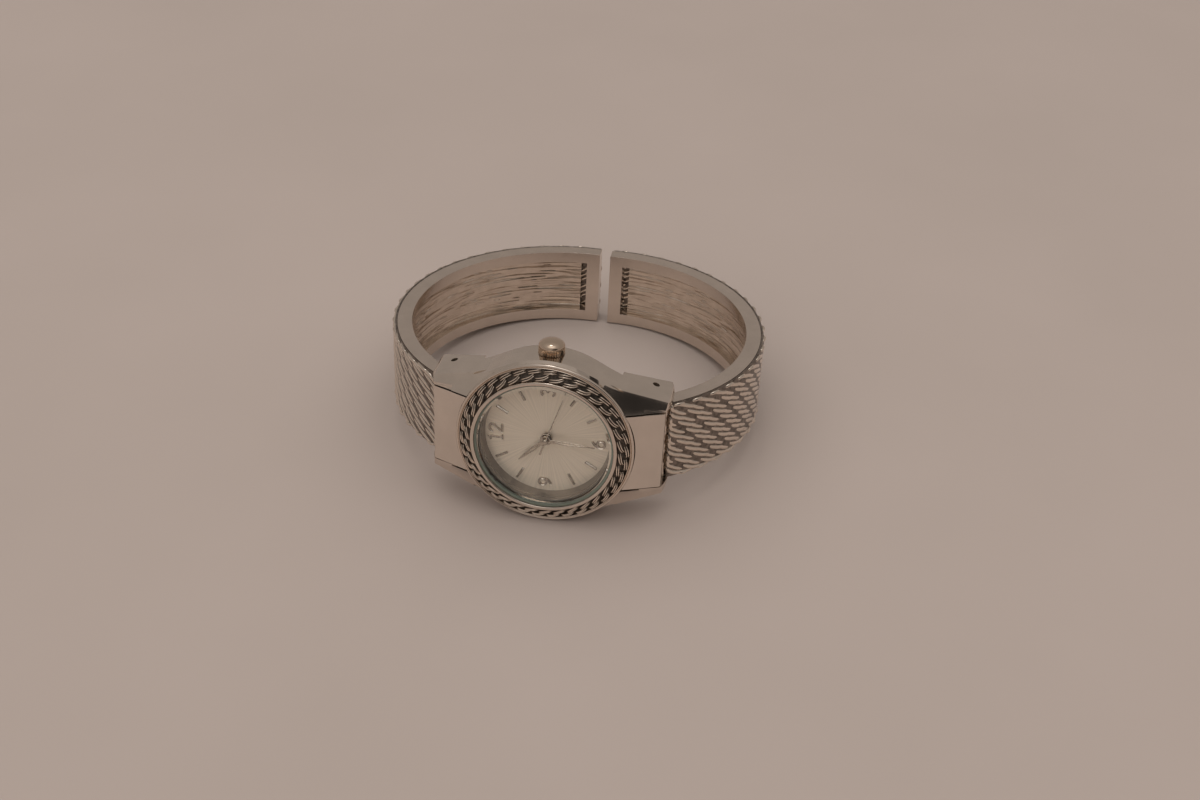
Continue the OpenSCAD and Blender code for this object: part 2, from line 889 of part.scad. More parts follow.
module battery_strap() {
    reach = battery_x + 3;
    color(silver) {
        flat(battery_rear, strap_t)
            translate([-battery_x, battery_z])
                round_bar_2d(0, reach, strap_w);
        flat(circuit_y + circuit_t, battery_rear - circuit_y - circuit_t)
            translate([-battery_x + reach, battery_z])
                circle(r = strap_w / 2);
    }
}

// hands on their pipes

module hour_wheel() {
    color(brass) {
        flat(wheel_y, wheel_t)
            ring_2d(wheel_r, hour_bore);
        flat(hour_y - 0.08, wheel_y - hour_y + 0.08)
            ring_2d(hour_pipe_r, hour_bore);
    }
}

module cannon_pinion() {
    color(brass) {
        flat(cannon_y, cannon_t)
            ring_2d(0.9, minute_bore);
        flat(minute_y - 0.06, cannon_y - minute_y + 0.06)
            ring_2d(minute_pipe_r, minute_bore);
    }
}

module seconds_arbor() {
    color(brass) {
        flat(second_y, bridge_y + bridge_t - second_y)
            circle(r = arbor_r);
        flat(main_rear + 0.2, wheel_t)
            ring_2d(1.5, arbor_r);
    }
}

module blade_2d(len, w, eye) {
    difference() {
        polygon([
            [0, -w * 0.35], [len * 0.45, -w / 2], [len, -0.06],
            [len, 0.06], [len * 0.45, w / 2], [0, w * 0.35]
        ]);
        polygon([[len * 0.25, 0], [len * 0.45, -w / 5], [len * 0.72, 0], [len * 0.45, w / 5]]);
        circle(r = eye);
    }
}

module hour_hand() {
    color(silver)
        flat(hour_y, hand_t)
            rotate(180 - hour_turn) {
                blade_2d(hour_len, 0.75, hour_pipe_r);
                ring_2d(hour_pipe_r + 0.3, hour_pipe_r);
            }
}

module minute_hand() {
    color(silver)
        flat(minute_y, hand_t)
            rotate(180 - minute_turn) {
                blade_2d(minute_len, 0.65, minute_pipe_r);
                ring_2d(minute_pipe_r + 0.32, minute_pipe_r);
            }
}

module second_hand() {
    color(silver) {
        flat(second_y, hand_t)
            rotate(180 - second_turn)
                difference() {
                    union() {
                        polygon([
                            [-second_tail, -0.16], [0, -0.12], [second_len, -0.05],
                            [second_len, 0.05], [0, 0.12], [-second_tail, 0.16]
                        ]);
                        circle(r = 0.5);
                    }
                    circle(r = arbor_r);
                }
        flat(second_y - 0.2, 0.2)
            circle(r = 0.42);
    }
}

// crown on its stem, at 3

module crown_tube() {
    color(silver)
        translate([0, crown_y, case_bore_r - 0.4])
            linear_extrude(height = case_r + crown_gap + crown_barrel - 0.6 - case_bore_r + 0.4)
                ring_2d(tube_r, stem_r + run_gap);
}

crown_base = case_r + crown_gap;
crown_floor = crown_base + crown_barrel - 0.3;

module stem() {
    color(dark_silver)
        translate([0, crown_y, stem_end])
            cylinder(r = stem_r, h = crown_floor + 0.8 - stem_end);
}

module crown() {
    top = crown_base + crown_barrel;
    dome_r = (crown_r * crown_r + crown_dome * crown_dome) / (2 * crown_dome);
    color(pale_gold)
        translate([0, crown_y, 0])
            difference() {
                rotate_extrude()
                    difference() {
                        union() {
                            translate([0, crown_base])
                                square([crown_r, crown_barrel]);
                            intersection() {
                                translate([0, top + crown_dome - dome_r])
                                    circle(r = dome_r);
                                translate([0, top])
                                    square([crown_r, crown_dome - crown_flat]);
                            }
                        }
                        // room for tube and seal, then the hole for the stem
                        translate([0, crown_base])
                            square([tube_r + 2 * run_gap + seal_t, crown_floor - crown_base]);
                        translate([0, crown_base])
                            square([stem_r, crown_floor - crown_base + 0.8]);
                        // fine ring in the top
                        translate([0.28, top + crown_dome - 0.08])
                            square([0.14, 1]);
                    }
                for (k = [0:crown_flutes - 1])
                    rotate(360 / crown_flutes * k)
                        translate([crown_r + flute_r * 0.2, 0, crown_base + 0.25])
                            cylinder(r = flute_r, h = crown_barrel - 0.35);
            }
}

module crown_seal() {
    color(rubber)
        translate([0, crown_y, crown_base + 0.15])
            linear_extrude(height = 0.5)
                ring_2d(tube_r + run_gap + seal_t, tube_r + run_gap);
}

// cover plates and hinges

module right_cover() {
    z = slot_z - lay_gap;
    y1 = plate_front(plate_x) + plate_t;
    color(silver)
        difference() {
            translate([0, 0, -z])
                linear_extrude(height = 2 * z)
                    polygon([
                        [9, plate_front(9)], [plate_x - 0.15, plate_front(plate_x - 0.15)],
                        [plate_x, plate_front(plate_x) + 0.12], [plate_x, y1], [9, y1]
                    ]);
            rotate([-90, 0, 0])
                translate([0, 0, -9])
                    cylinder(r = bezel_r + lay_gap, h = 9 + bezel_h);
            rotate([-90, 0, 0])
                cylinder(r = case_r, h = 2 * case_rear);
        }
}

module left_cover_plate() {
    mirror([1, 0, 0])
        right_cover();
}

module right_cover_plate() {
    right_cover();
}

module right_pin() {
    color(dark_silver)
        translate([hinge_x, hinge_y, pin_sink - side_z(hinge_x)])
            cylinder(r = pin_r, h = 2 * (side_z(hinge_x) - pin_sink));
}

module left_hinge_pin() {
    mirror([1, 0, 0])
        right_pin();
}

module right_hinge_pin() {
    right_pin();
}

spring_play = 0.3;
spring_r = pin_r + 0.1 + spring_wire / 2;
spring_lift = spring_wire + 0.12;

// torsion spring round the pin as one tube: a leg to the case wall, the turns, a leg to the arm
spring_path = let (
    n = spring_turns * 8,
    wall = case_r + 0.1 - hinge_x,
    lean = hinge_a + 90 - 20 * hinge_off,
    arm = (knuckle_r + spring_play - run_gap) * [cos(lean), sin(lean)],
    h = spring_lift * spring_turns / 2
)
concat(
    [[wall, -spring_r, -h]],
    [for (i = [0:n])
        let (a = 45 * i - 90)
        [spring_r * cos(a), spring_r * sin(a), spring_lift * i / 8 - h]],
    [[spring_r * 1.2, spring_r * -0.6, h + 0.1], [arm[0], arm[1], h + 0.1]]
);

function tube_points(path, r) =
    let (n = len(path))
    [for (i = [0:n - 1])
        let (
            d = path[min(i + 1, n - 1)] - path[max(i - 1, 0)],
            t = d / norm(d),
            e = cross([0, 0, 1], t),
            s = e / norm(e),
            up = cross(t, s)
        )
        for (k = [0:5]) path[i] + r * cos(60 * k) * s + r * sin(60 * k) * up];

function tube_faces(n) = concat(
    [for (i = [0:n - 2], k = [0:5])
        let (a = i * 6 + k, b = i * 6 + (k + 1) % 6)
        each [[a, b + 6, b], [a, a + 6, b + 6]]],
    [for (k = [1:4]) [0, k, k + 1]],
    [for (k = [1:4]) [(n - 1) * 6, (n - 1) * 6 + k + 1, (n - 1) * 6 + k]]
);

module right_spring() {
    color(dark_silver)
        translate([hinge_x, hinge_y, 0])
            polyhedron(
                points = tube_points(spring_path, spring_wire / 2),
                faces = tube_faces(len(spring_path))
            );
}

module left_hinge_spring() {
    mirror([1, 0, 0])
        right_spring();
}

module right_hinge_spring() {
    right_spring();
}

// arms

// a stretch of the arm seen from the crown side, o0 to o1 off the inner face, angle a0 to a1
module arm_2d(o0, o1, a0, a1) {
    translate([bend_x, cuff_y])
        intersection() {
            ring_2d(bend_r + o1, bend_r + o0);
            polygon([
                [0, 0],
                for (k = [0:8])
                    let (a = a0 + (a1 - a0) * k / 8)
                    2 * bend_r * [cos(a), sin(a)]
            ]);
        }
}

module right_frame() {
    color(silver)
        difference() {
            translate([0, 0, -arm_w / 2])
                linear_extrude(height = arm_w)
                    difference() {
                        union() {
                            arm_2d(0, frame_t, hinge_a, tip_a + 4);
                            translate([hinge_x, hinge_y])
                                circle(r = knuckle_r);
                        }
                        translate([hinge_x, hinge_y])
                            circle(r = pin_r + run_gap);
                        translate([-cuff_x, cuff_y])
                            square([cuff_x + tip_gap / 2, 2 * cuff_x]);
                    }
            translate([0, 0, -window_z])
                linear_extrude(height = 2 * window_z)
                    arm_2d(-1, frame_t + 1, root_a, bar_a);
            translate([hinge_x, hinge_y, -spring_room / 2])
                cylinder(r = knuckle_r + spring_play, h = spring_room);
        }
}

module left_arm_frame() {
    mirror([1, 0, 0])
        right_frame();
}

module right_arm_frame() {
    right_frame();
}

// the chain's back, with the long grooves on its inner side
module right_back() {
    o = bend_r + window_depth;
    color(dark_silver)
        translate([bend_x, cuff_y, 0])
            rotate(root_a)
                rotate_extrude(angle = bar_a - root_a)
                    difference() {
                        translate([o, -window_z])
                            square([frame_t - window_depth, 2 * window_z]);
                        for (k = [0:groove_n - 1])
                            translate([o - groove_off, window_z * (2 * (k + 0.5) / groove_n - 1)])
                                circle(r = groove_r * (0.75 + 0.25 * cos(137 * k)));
                    }
}

module left_chain_back() {
    mirror([1, 0, 0])
        right_back();
}

module right_chain_back() {
    right_back();
}

// place on the arm's outside: u along it from the first link, h off the frame, z across
function arm_point(u, h, z) =
    let (a = relief_a + u / out_r * deg)
    [bend_x + (out_r + h) * cos(a), cuff_y + (out_r + h) * sin(a), z];

// a link's heights by third of its pitch: first strand, groove between the strands, second strand
link_high = [
    [0.42, 0.3, 0.42],
    [1, 0.5, 0.75],
    [0.75, 0.5, 1]
];

module right_relief() {
    n = link_n * 3;
    m = link_rows * 4;
    pts = [for (i = [0:n])
        let (
            end = i == 0 || i == n,
            ease = min(1, i / 2, (n - i) / 2),
            outer = [for (j = [0:m])
                let (
                    row = floor(j / 4),
                    k = j % 4,
                    shift = (k == 0 ? 0.25 : (row % 2) * 0.5) * ease,
                    u = min(relief_len, (i / 3 + shift * (i == n ? 0 : 1)) * link_pitch
                        * n / (n + 1.5 * ease)),
                    sway = k == 0 ? 0 : link_sway * [0, 1, -1][i % 3] * ease,
                    edge = j == 0 ? 1 : j == m ? -1 : 0,
                    z = -relief_z + row_pitch * (j / 4 + sway * (k == 2 ? 0.6 : 0.3))
                        + edge * (i % 3 == 0 ? 0.22 : 0) * ease,
                    h = end ? relief_h * 0.4
                        : k == 0 ? relief_low
                        : relief_low + (relief_h - relief_low) * link_high[i % 3][k - 1]
                )
                arm_point(u, h, z)],
            u0 = min(relief_len, (i / 3) * link_pitch),
            base = [for (z = [relief_z, -relief_z]) arm_point(u0, skin_gap, z)]
        )
        each concat(outer, base)];
    color(silver)
        polyhedron(points = pts, faces = grid_faces(n + 1, m, false));
}

module left_arm_chain() {
    mirror([1, 0, 0])
        right_relief();
}

module right_arm_chain() {
    right_relief();
}

at_rest() case_middle();
at_rest() case_back();
at_rest() case_back_gasket();
at_rest() bezel_ring();
at_rest() bezel_chain();
at_rest() crystal();
at_rest() crystal_gasket();
at_rest() dial_ring();
at_rest() dial();
at_rest() dial_batons();
at_rest() dial_numerals();
at_rest() movement_holder();
at_rest() main_plate();
at_rest() train_bridge();
at_rest() circuit_block();
at_rest() coil_core();
at_rest() coil();
at_rest() battery();
at_rest() battery_strap();
at_rest() hour_wheel();
at_rest() hour_hand();
at_rest() cannon_pinion();
at_rest() minute_hand();
at_rest() seconds_arbor();
at_rest() second_hand();
at_rest() crown_tube();
at_rest() stem();
at_rest() crown();
at_rest() crown_seal();
at_rest() left_cover_plate();
at_rest() right_cover_plate();
at_rest() left_hinge_pin();
at_rest() right_hinge_pin();
at_rest() left_hinge_spring();
at_rest() right_hinge_spring();
at_rest() left_arm_frame();
at_rest() right_arm_frame();
at_rest() left_chain_back();
at_rest() right_chain_back();
at_rest() left_arm_chain();
at_rest() right_arm_chain();
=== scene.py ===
import json
import math
import random

import bmesh
import bpy
from mathutils import Matrix, Vector, noise


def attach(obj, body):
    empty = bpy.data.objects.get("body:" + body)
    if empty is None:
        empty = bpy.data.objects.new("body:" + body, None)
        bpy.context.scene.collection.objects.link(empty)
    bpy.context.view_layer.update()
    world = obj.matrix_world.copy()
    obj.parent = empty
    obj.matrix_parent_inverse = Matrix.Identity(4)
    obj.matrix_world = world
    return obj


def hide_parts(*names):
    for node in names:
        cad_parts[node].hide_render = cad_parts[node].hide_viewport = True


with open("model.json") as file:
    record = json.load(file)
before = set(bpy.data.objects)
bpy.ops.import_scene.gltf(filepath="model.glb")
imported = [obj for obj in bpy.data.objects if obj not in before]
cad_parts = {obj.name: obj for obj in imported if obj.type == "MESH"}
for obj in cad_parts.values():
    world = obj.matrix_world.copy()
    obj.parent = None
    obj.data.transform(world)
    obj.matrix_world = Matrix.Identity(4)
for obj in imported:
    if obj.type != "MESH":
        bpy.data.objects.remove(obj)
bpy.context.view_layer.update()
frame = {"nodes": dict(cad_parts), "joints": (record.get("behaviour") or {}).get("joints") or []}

# Cuff watch: a round quartz watch on a cuff of two sprung arms. Pieces are drawn in millimetres in
# the watch's own frame (x to the 6 side, y from the dial to the wrist, z to the crown) and then
# laid in their place, with the watch on its 9 o'clock side.

# Camera
# The photographer looks down at the dial from a little to the 6 side, from about 27 cm.
camera_data = bpy.data.cameras.new("photo_camera")
camera_data.lens = 45.56
camera_data.sensor_width = 36
camera_data.clip_start = 0.01
camera = bpy.data.objects.new("photo_camera", camera_data)
bpy.context.scene.collection.objects.link(camera)
view_right = Vector((0.984755, 0.172679, 0.020958))
view_down = Vector((0.122845, -0.605089, -0.786623))
view_ahead = view_right.cross(view_down)
camera.matrix_world = Matrix.Translation((0.037707, -0.211201, 0.169769)) @ Matrix(
    (view_right, -view_down, -view_ahead)
).transposed().to_4x4()
bpy.context.scene.camera = camera

# Case middle
# One steel forging with four flat ears, ground and polished all over, its edges broken by the
# polishing wheel. The crown's stem and the hinge pins pass through drilled holes.
nodes = frame["nodes"]
joints = {joint["name"]: joint for joint in frame["joints"]}
to_crown = Vector(joints["crown_pull"]["axis"])
to_wrist = Vector(joints["minute_turn"]["axis"])
glass_centre = Vector(joints["minute_turn"]["pos_m"]) - 0.004 * to_wrist
own_frame = (
    Matrix.Translation(glass_centre)
    @ Matrix((Vector((1, 0, 0)), to_wrist, to_crown)).transposed().to_4x4()
    @ Matrix.Scale(0.001, 4)
)
CORNER = math.radians(28)


def finish_piece(bm, name, body, material, smooth_below=CORNER, lay=True):
    """Puts a mesh drawn in the watch's own frame in its place, and hands it to its body."""
    if lay:
        bm.transform(own_frame)
    bm.normal_update()
    for face in bm.faces:
        face.smooth = True
    for edge in bm.edges:
        edge.smooth = edge.is_manifold and edge.calc_face_angle() < smooth_below
    mesh = bpy.data.meshes.new(name)
    bm.to_mesh(mesh)
    bm.free()
    piece = bpy.data.objects.new(name, mesh)
    bpy.context.scene.collection.objects.link(piece)
    mesh.materials.append(material)
    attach(piece, body)
    return piece


def merged_copy(node):
    """A node's mesh with its loose triangles joined and its flats made whole."""
    bm = bmesh.new()
    bm.from_mesh(nodes[node].data)
    bmesh.ops.remove_doubles(bm, verts=bm.verts, dist=2e-6)
    bmesh.ops.dissolve_limit(
        bm, angle_limit=math.radians(0.6), verts=bm.verts, edges=bm.edges, delimit=set()
    )
    return bm


def softened(node, edge, steps, body, material, squeeze=1.0):
    """A copy of a solid with its corners rounded by edge millimetres, shown in its place."""
    bm = merged_copy(node)
    if squeeze != 1.0:
        bm.transform(own_frame @ Matrix.Diagonal((1, 1, squeeze, 1)) @ own_frame.inverted())
    corners = [e for e in bm.edges if len(e.link_faces) == 2 and e.calc_face_angle() > CORNER]
    bmesh.ops.bevel(
        bm, geom=corners, offset=edge / 1000, offset_type="OFFSET", segments=steps,
        profile=0.5, affect="EDGES", clamp_overlap=True, material=-1,
    )
    piece = finish_piece(bm, node + "_polished", body, material, math.radians(40), lay=False)
    even = piece.modifiers.new("even_shading", "WEIGHTED_NORMAL")
    even.keep_sharp = True
    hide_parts(node)
    return piece


def new_finish(name, colour, roughness, metallic=0.0, **sockets):
    """A material with its plain values set; returns it with its tree and shader."""
    material = bpy.data.materials.new(name)
    material.use_nodes = True
    tree = material.node_tree
    shader = tree.nodes["Principled BSDF"]
    shader.inputs["Base Color"].default_value = (*colour, 1)
    shader.inputs["Roughness"].default_value = roughness
    shader.inputs["Metallic"].default_value = metallic
    for socket, value in sockets.items():
        shader.inputs[socket.replace("_", " ")].default_value = value
    return material, tree, shader


def grain(tree, scale, detail=3.0, stretch=(1, 1, 1)):
    """Noise on object coordinates, with its lumps about 1000 / scale millimetres wide."""
    place = tree.nodes.new("ShaderNodeTexCoord")
    mapping = tree.nodes.new("ShaderNodeMapping")
    mapping.inputs["Scale"].default_value = stretch
    speckle = tree.nodes.new("ShaderNodeTexNoise")
    speckle.inputs["Scale"].default_value = scale
    speckle.inputs["Detail"].default_value = detail
    speckle.inputs["Roughness"].default_value = 0.55
    tree.links.new(place.outputs["Object"], mapping.inputs["Vector"])
    tree.links.new(mapping.outputs["Vector"], speckle.inputs["Vector"])
    return speckle.outputs["Fac"]


NOISE_LOW, NOISE_HIGH = 0.3, 0.7


def spread(tree, value, low, high):
    """Spreads a noise's usual range over low..high."""
    ranged = tree.nodes.new("ShaderNodeMapRange")
    ranged.inputs["From Min"].default_value = NOISE_LOW
    ranged.inputs["From Max"].default_value = NOISE_HIGH
    ranged.inputs["To Min"].default_value = low
    ranged.inputs["To Max"].default_value = high
    tree.links.new(value, ranged.inputs["Value"])
    return ranged.outputs["Result"]


def relief(tree, shader, height, distance, strength=1.0):
    """Feeds a texture to the shader as bump; distance in millimetres."""
    bump = tree.nodes.new("ShaderNodeBump")
    bump.inputs["Distance"].default_value = distance / 1000
    bump.inputs["Strength"].default_value = strength
    tree.links.new(height, bump.inputs["Height"])
    tree.links.new(bump.outputs["Normal"], shader.inputs["Normal"])


def tint(tree, shader, value, dark, light):
    """Colours the shader from dark to light along a noise."""
    ramp = tree.nodes.new("ShaderNodeValToRGB")
    ramp.color_ramp.elements[0].position = NOISE_LOW
    ramp.color_ramp.elements[0].color = (*dark, 1)
    ramp.color_ramp.elements[1].position = NOISE_HIGH
    ramp.color_ramp.elements[1].color = (*light, 1)
    tree.links.new(value, ramp.inputs["Fac"])
    tree.links.new(ramp.outputs["Color"], shader.inputs["Base Color"])


def polished_steel(name, colour=(0.75, 0.665, 0.585), low=0.1, high=0.2, waviness=0.004):
    """Buffed steel: hazy smears, faint hairlines and a little waviness from the wheel."""
    material, tree, shader = new_finish(name, colour, low, 1.0)
    smears = grain(tree, 260, 4)
    tree.links.new(spread(tree, smears, low, high), shader.inputs["Roughness"])
    tint(tree, shader, smears, [0.93 * c for c in colour], [1.03 * c for c in colour])
    relief(tree, shader, grain(tree, 420, 2, (1, 1, 2.5)), waviness)
    return material


def merged_solid(bm, tool, operation):
    """Joins tool's solid to bm's, or takes it out; both lie in the watch's own frame."""
    meshes = []
    for part in (bm, tool):
        bmesh.ops.recalc_face_normals(part, faces=part.faces)
        mesh = bpy.data.meshes.new("rough")
        part.to_mesh(mesh)
        part.free()
        meshes.append(mesh)
    roughs = [bpy.data.objects.new("rough", mesh) for mesh in meshes]
    for rough in roughs:
        bpy.context.scene.collection.objects.link(rough)
    work = roughs[0].modifiers.new("work", "BOOLEAN")
    work.object = roughs[1]
    work.operation = operation
    work.solver = "EXACT"
    work.use_self = True
    graph = bpy.context.evaluated_depsgraph_get()
    result = bmesh.new()
    result.from_mesh(roughs[0].evaluated_get(graph).to_mesh())
    for rough, mesh in zip(roughs, meshes):
        bpy.data.objects.remove(rough)
        bpy.data.meshes.remove(mesh)
    return result


def slab(bm, outline, front, back):
    """Adds a slab with an outline of x and z, from the depth front to the depth back."""
    face = bm.faces.new([bm.verts.new((x, front, z)) for x, z in outline])
    grown = bmesh.ops.extrude_face_region(bm, geom=[face])["geom"]
    moved = [v for v in grown if isinstance(v, bmesh.types.BMVert)]
    bmesh.ops.translate(bm, verts=moved, vec=(0, back - front, 0))


def turned(bm, outline, steps=180):
    """Adds a solid turned about the dial's axis; outline holds its radii and depths."""
    corners = [bm.verts.new((radius, depth, 0)) for radius, depth in outline]
    edges = [bm.edges.new((a, b)) for a, b in zip(corners, corners[1:] + corners[:1])]
    bmesh.ops.spin(
        bm, geom=corners + edges, cent=(0, 0, 0), axis=(0, 1, 0), dvec=(0, 0, 0),
        angle=math.tau, steps=steps, use_merge=True,
    )


def skinned(bm, hoops):
    """Closes the wall between each hoop of vertices and the next."""
    for near, far in zip(hoops, hoops[1:]):
        rims = dict.fromkeys(
            e for hoop in (near, far) for v in hoop for e in v.link_edges
            if all(w in hoop for w in e.verts)
        )
        bmesh.ops.bridge_loops(bm, edges=list(rims))


# outline of the forging: an ear's flat side falls with EAR_SLOPE towards the ear's end, the
# crown side is round as far as ROUND_TO from the middle and has run out into the ears at EARS_FROM
EAR_END = 19.5
EAR_END_HEIGHT = 8.16
EAR_SLOPE = 0.3096
ROUND_RADIUS = 14.57
ROUND_TO = 6.2
EARS_FROM = 12.0
HAIR = 0.01


def ear_side(x):
    """Height of an ear's flat side at the distance x from the middle."""
    return EAR_END_HEIGHT + EAR_SLOPE * (EAR_END - abs(x))


def crown_side(x):
    """Height of the crown side at the distance x from the middle."""
    if abs(x) <= ROUND_TO:
        return math.sqrt(ROUND_RADIUS ** 2 - x ** 2)
    start = math.sqrt(ROUND_RADIUS ** 2 - ROUND_TO ** 2)
    width = EARS_FROM - ROUND_TO
    part = (abs(x) - ROUND_TO) / width
    drop = ear_side(EARS_FROM) - HAIR - start
    leave = -ROUND_TO / start * width * part * (1 - part) ** 2
    arrive = EAR_SLOPE * width * part ** 2 * (1 - part)
    return start + drop * part * part * (3 - 2 * part) + leave + arrive


# the room behind the bezel's rim, the swelling crown side and the roots of the ears are filled
filling = bmesh.new()
turned(filling, ((13.6, 1.55), (14.48, 1.55), (14.48, 3.05), (14.2, 3.4), (13.6, 3.4)))
SWELL_STEPS = 60
swell = [EARS_FROM * k / SWELL_STEPS for k in range(-SWELL_STEPS, SWELL_STEPS + 1)]
swell = [(x, crown_side(x)) for x in swell] + [(EARS_FROM, 10.2), (-EARS_FROM, 10.2)]
slab(filling, swell, front=1.6, back=7.7)
ROOT_FROM, ROOT_TO, ROOT_FOOT = 8.6, 15.5, 7.12
ear_root = [(x, ear_side(x) - 1.2 * HAIR) for x in (ROOT_FROM, ROOT_TO)]
ear_root = [(ROOT_FROM, ROOT_FOOT)] + ear_root + [(ROOT_TO, ROOT_FOOT)]
for side_x in (1, -1):
    for side_z in (1, -1):
        slab(filling, [(side_x * x, side_z * z) for x, z in ear_root], front=0.4, back=3.5)
bm = merged_copy("case_middle")
bm.transform(own_frame.inverted())
bm = merged_solid(bm, filling, "UNION")

# seat of the bezel, under its rim
seat = bmesh.new()
turned(seat, (
    (2, -3), (14.53, -3), (14.53, 1.62), (14.32, 1.8), (13.88, 1.86), (13.88, 3.12), (2, 3.12),
))
bm = merged_solid(bm, seat, "DIFFERENCE")

# the ears' hollow cheeks, which meet over the bezel: at some distances x from the middle, the
# depths of the cheek's edge on the dial's side and of its edge on the ear's side, with its height
CHEEK_FOOT = 7.1
CHEEK_HOLLOW = 2.6
CHEEK_END = 20.0
cheek_sections = [(-CHEEK_END, 4.3, 4.8, 8.2)]
for k in range(-4, 5):
    part = (k / 4) ** 2
    cheek_sections.append((2.25 * k, -7.4 + 7.1 * part, 2.75 - 0.6 * part, 14.75 - 3.14 * part))
cheek_sections.append((CHEEK_END, 4.3, 4.8, 8.2))
cheeks = bmesh.new()
for side_z in (1, -1):
    hoops = []
    for x, front, back, top in cheek_sections:
        foot, head = Vector((front, CHEEK_FOOT)), Vector((back, top))
        chord = head - foot
        radius = CHEEK_HOLLOW * chord.length
        lift = Vector((-chord.y, chord.x)).normalized()
        centre = (foot + head) / 2 + lift * math.sqrt(radius ** 2 - chord.length_squared / 4)
        place = Matrix.Translation((x, centre.x, side_z * centre.y))
        hoops.append(bmesh.ops.create_circle(
            cheeks, cap_ends=abs(x) == CHEEK_END, segments=220, radius=radius,
            matrix=place @ Matrix.Rotation(math.radians(90), 4, "Y"),
        )["verts"])
    skinned(cheeks, hoops)
bm = merged_solid(bm, cheeks, "DIFFERENCE")

# the crown stands in a shallow round pocket
CROWN_Y = 5.4
POCKET_FLOOR = 14.2
POCKET_RADIUS = 2.17
pocket = bmesh.new()
bmesh.ops.create_cone(
    pocket, cap_ends=True, segments=96, radius1=POCKET_RADIUS, radius2=POCKET_RADIUS, depth=2,
    matrix=Matrix.Translation((0, CROWN_Y, POCKET_FLOOR + 1)),
)
bm = merged_solid(bm, pocket, "DIFFERENCE")
bmesh.ops.remove_doubles(bm, verts=bm.verts, dist=2e-3)
bmesh.ops.dissolve_limit(
    bm, angle_limit=math.radians(0.25), verts=bm.verts, edges=bm.edges, delimit=set()
)

# only the ears' corners are broken; those round the bezel's seat stay crisp
SEAT_CLEAR = 14.7
EAR_CORNERS_FROM = 12.1
CASE_EDGE = 0.16
case_corners = [
    e for e in bm.edges if len(e.link_faces) == 2 and e.calc_face_angle() > CORNER
    and all(v.co.xz.length > SEAT_CLEAR and abs(v.co.x) > EAR_CORNERS_FROM for v in e.verts)
]
bmesh.ops.bevel(
    bm, geom=case_corners, offset=CASE_EDGE, offset_type="OFFSET", segments=3, profile=0.5,
    affect="EDGES", clamp_overlap=True, material=-1,
)
case_steel = polished_steel("case_steel")
case = finish_piece(bm, "case_polished", "case", case_steel, math.radians(40))
case.modifiers.new("even_shading", "WEIGHTED_NORMAL").keep_sharp = True
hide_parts("case_middle")


# Case back with its gasket
# A turned lid, pressed into the case, finer satin than the rest, on a black sealing ring.
def dress(material, *names):
    """Gives carried-over solids their finish."""
    for name in names:
        mesh = nodes[name].data
        mesh.materials.clear()
        mesh.materials.append(material)
        for face in mesh.polygons:
            face.material_index = 0


back_steel, tree, shader = new_finish("back_steel", (0.6, 0.55, 0.49), 0.3, 1.0)
tree.links.new(spread(tree, grain(tree, 900, 4), 0.24, 0.38), shader.inputs["Roughness"])
relief(tree, shader, grain(tree, 1500, 2), 0.0015)
softened("case_back", 0.08, 2, "case", back_steel)
seal_rubber, tree, shader = new_finish("seal_rubber", (0.02, 0.02, 0.02), 0.6)
relief(tree, shader, grain(tree, 4000, 2), 0.01)
dress(seal_rubber, "case_back_gasket", "crown_seal")

# Movement
# A small quartz movement in a plastic holder: plated plates, a lacquered board, a wound coil on
# its core and a button cell under a strap. It is sealed in and only seen with the case open.
holder_plastic, tree, shader = new_finish("holder_plastic", (0.78, 0.75, 0.68), 0.45)
tree.links.new(spread(tree, grain(tree, 700), 0.38, 0.55), shader.inputs["Roughness"])
dress(holder_plastic, "movement_holder")
movement_metal, tree, shader = new_finish("movement_metal", (0.62, 0.58, 0.48), 0.3, 1.0)
relief(tree, shader, grain(tree, 1800, 2, (8, 1, 1)), 0.006)
dress(movement_metal, "main_plate", "train_bridge")
circuit_green, tree, shader = new_finish("circuit_green", (0.03, 0.16, 0.07), 0.3)
tint(tree, shader, grain(tree, 1200, 2), (0.02, 0.12, 0.05), (0.05, 0.22, 0.1))
dress(circuit_green, "circuit_block")
coil_copper, tree, shader = new_finish("coil_copper", (0.6, 0.26, 0.12), 0.35, 0.9)
windings = tree.nodes.new("ShaderNodeTexWave")
windings.bands_direction = "X"
windings.inputs["Scale"].default_value = 2400
coil_place = tree.nodes.new("ShaderNodeTexCoord")
tree.links.new(coil_place.outputs["Object"], windings.inputs["Vector"])
relief(tree, shader, windings.outputs["Fac"], 0.05)
dress(coil_copper, "coil")
core_iron, tree, shader = new_finish("core_iron", (0.45, 0.45, 0.45), 0.4, 1.0)
relief(tree, shader, grain(tree, 2500), 0.004)
dress(core_iron, "coil_core")
cell_steel, tree, shader = new_finish("cell_steel", (0.66, 0.66, 0.66), 0.25, 1.0)
tree.links.new(spread(tree, grain(tree, 900), 0.2, 0.35), shader.inputs["Roughness"])
dress(cell_steel, "battery", "battery_strap")
movement_brass, tree, shader = new_finish("movement_brass", (0.66, 0.5, 0.22), 0.28, 1.0)
relief(tree, shader, grain(tree, 2500), 0.004)
dress(movement_brass, "hour_wheel", "cannon_pinion")
# the hinge pins' ends sit sunk in their holes; their near black colour is painted shade for the
# holes
pin_steel, tree, shader = new_finish("pin_steel", (0.09, 0.075, 0.06), 0.45, 1.0)
relief(tree, shader, grain(tree, 3000, 2, (1, 1, 0.1)), 0.004)
dress(pin_steel, "left_hinge_pin", "right_hinge_pin")
arbor_steel, tree, shader = new_finish("arbor_steel", (0.5, 0.46, 0.41), 0.3, 1.0)
relief(tree, shader, grain(tree, 3000, 2, (1, 1, 0.1)), 0.004)
dress(arbor_steel, "seconds_arbor", "crown_tube", "stem")

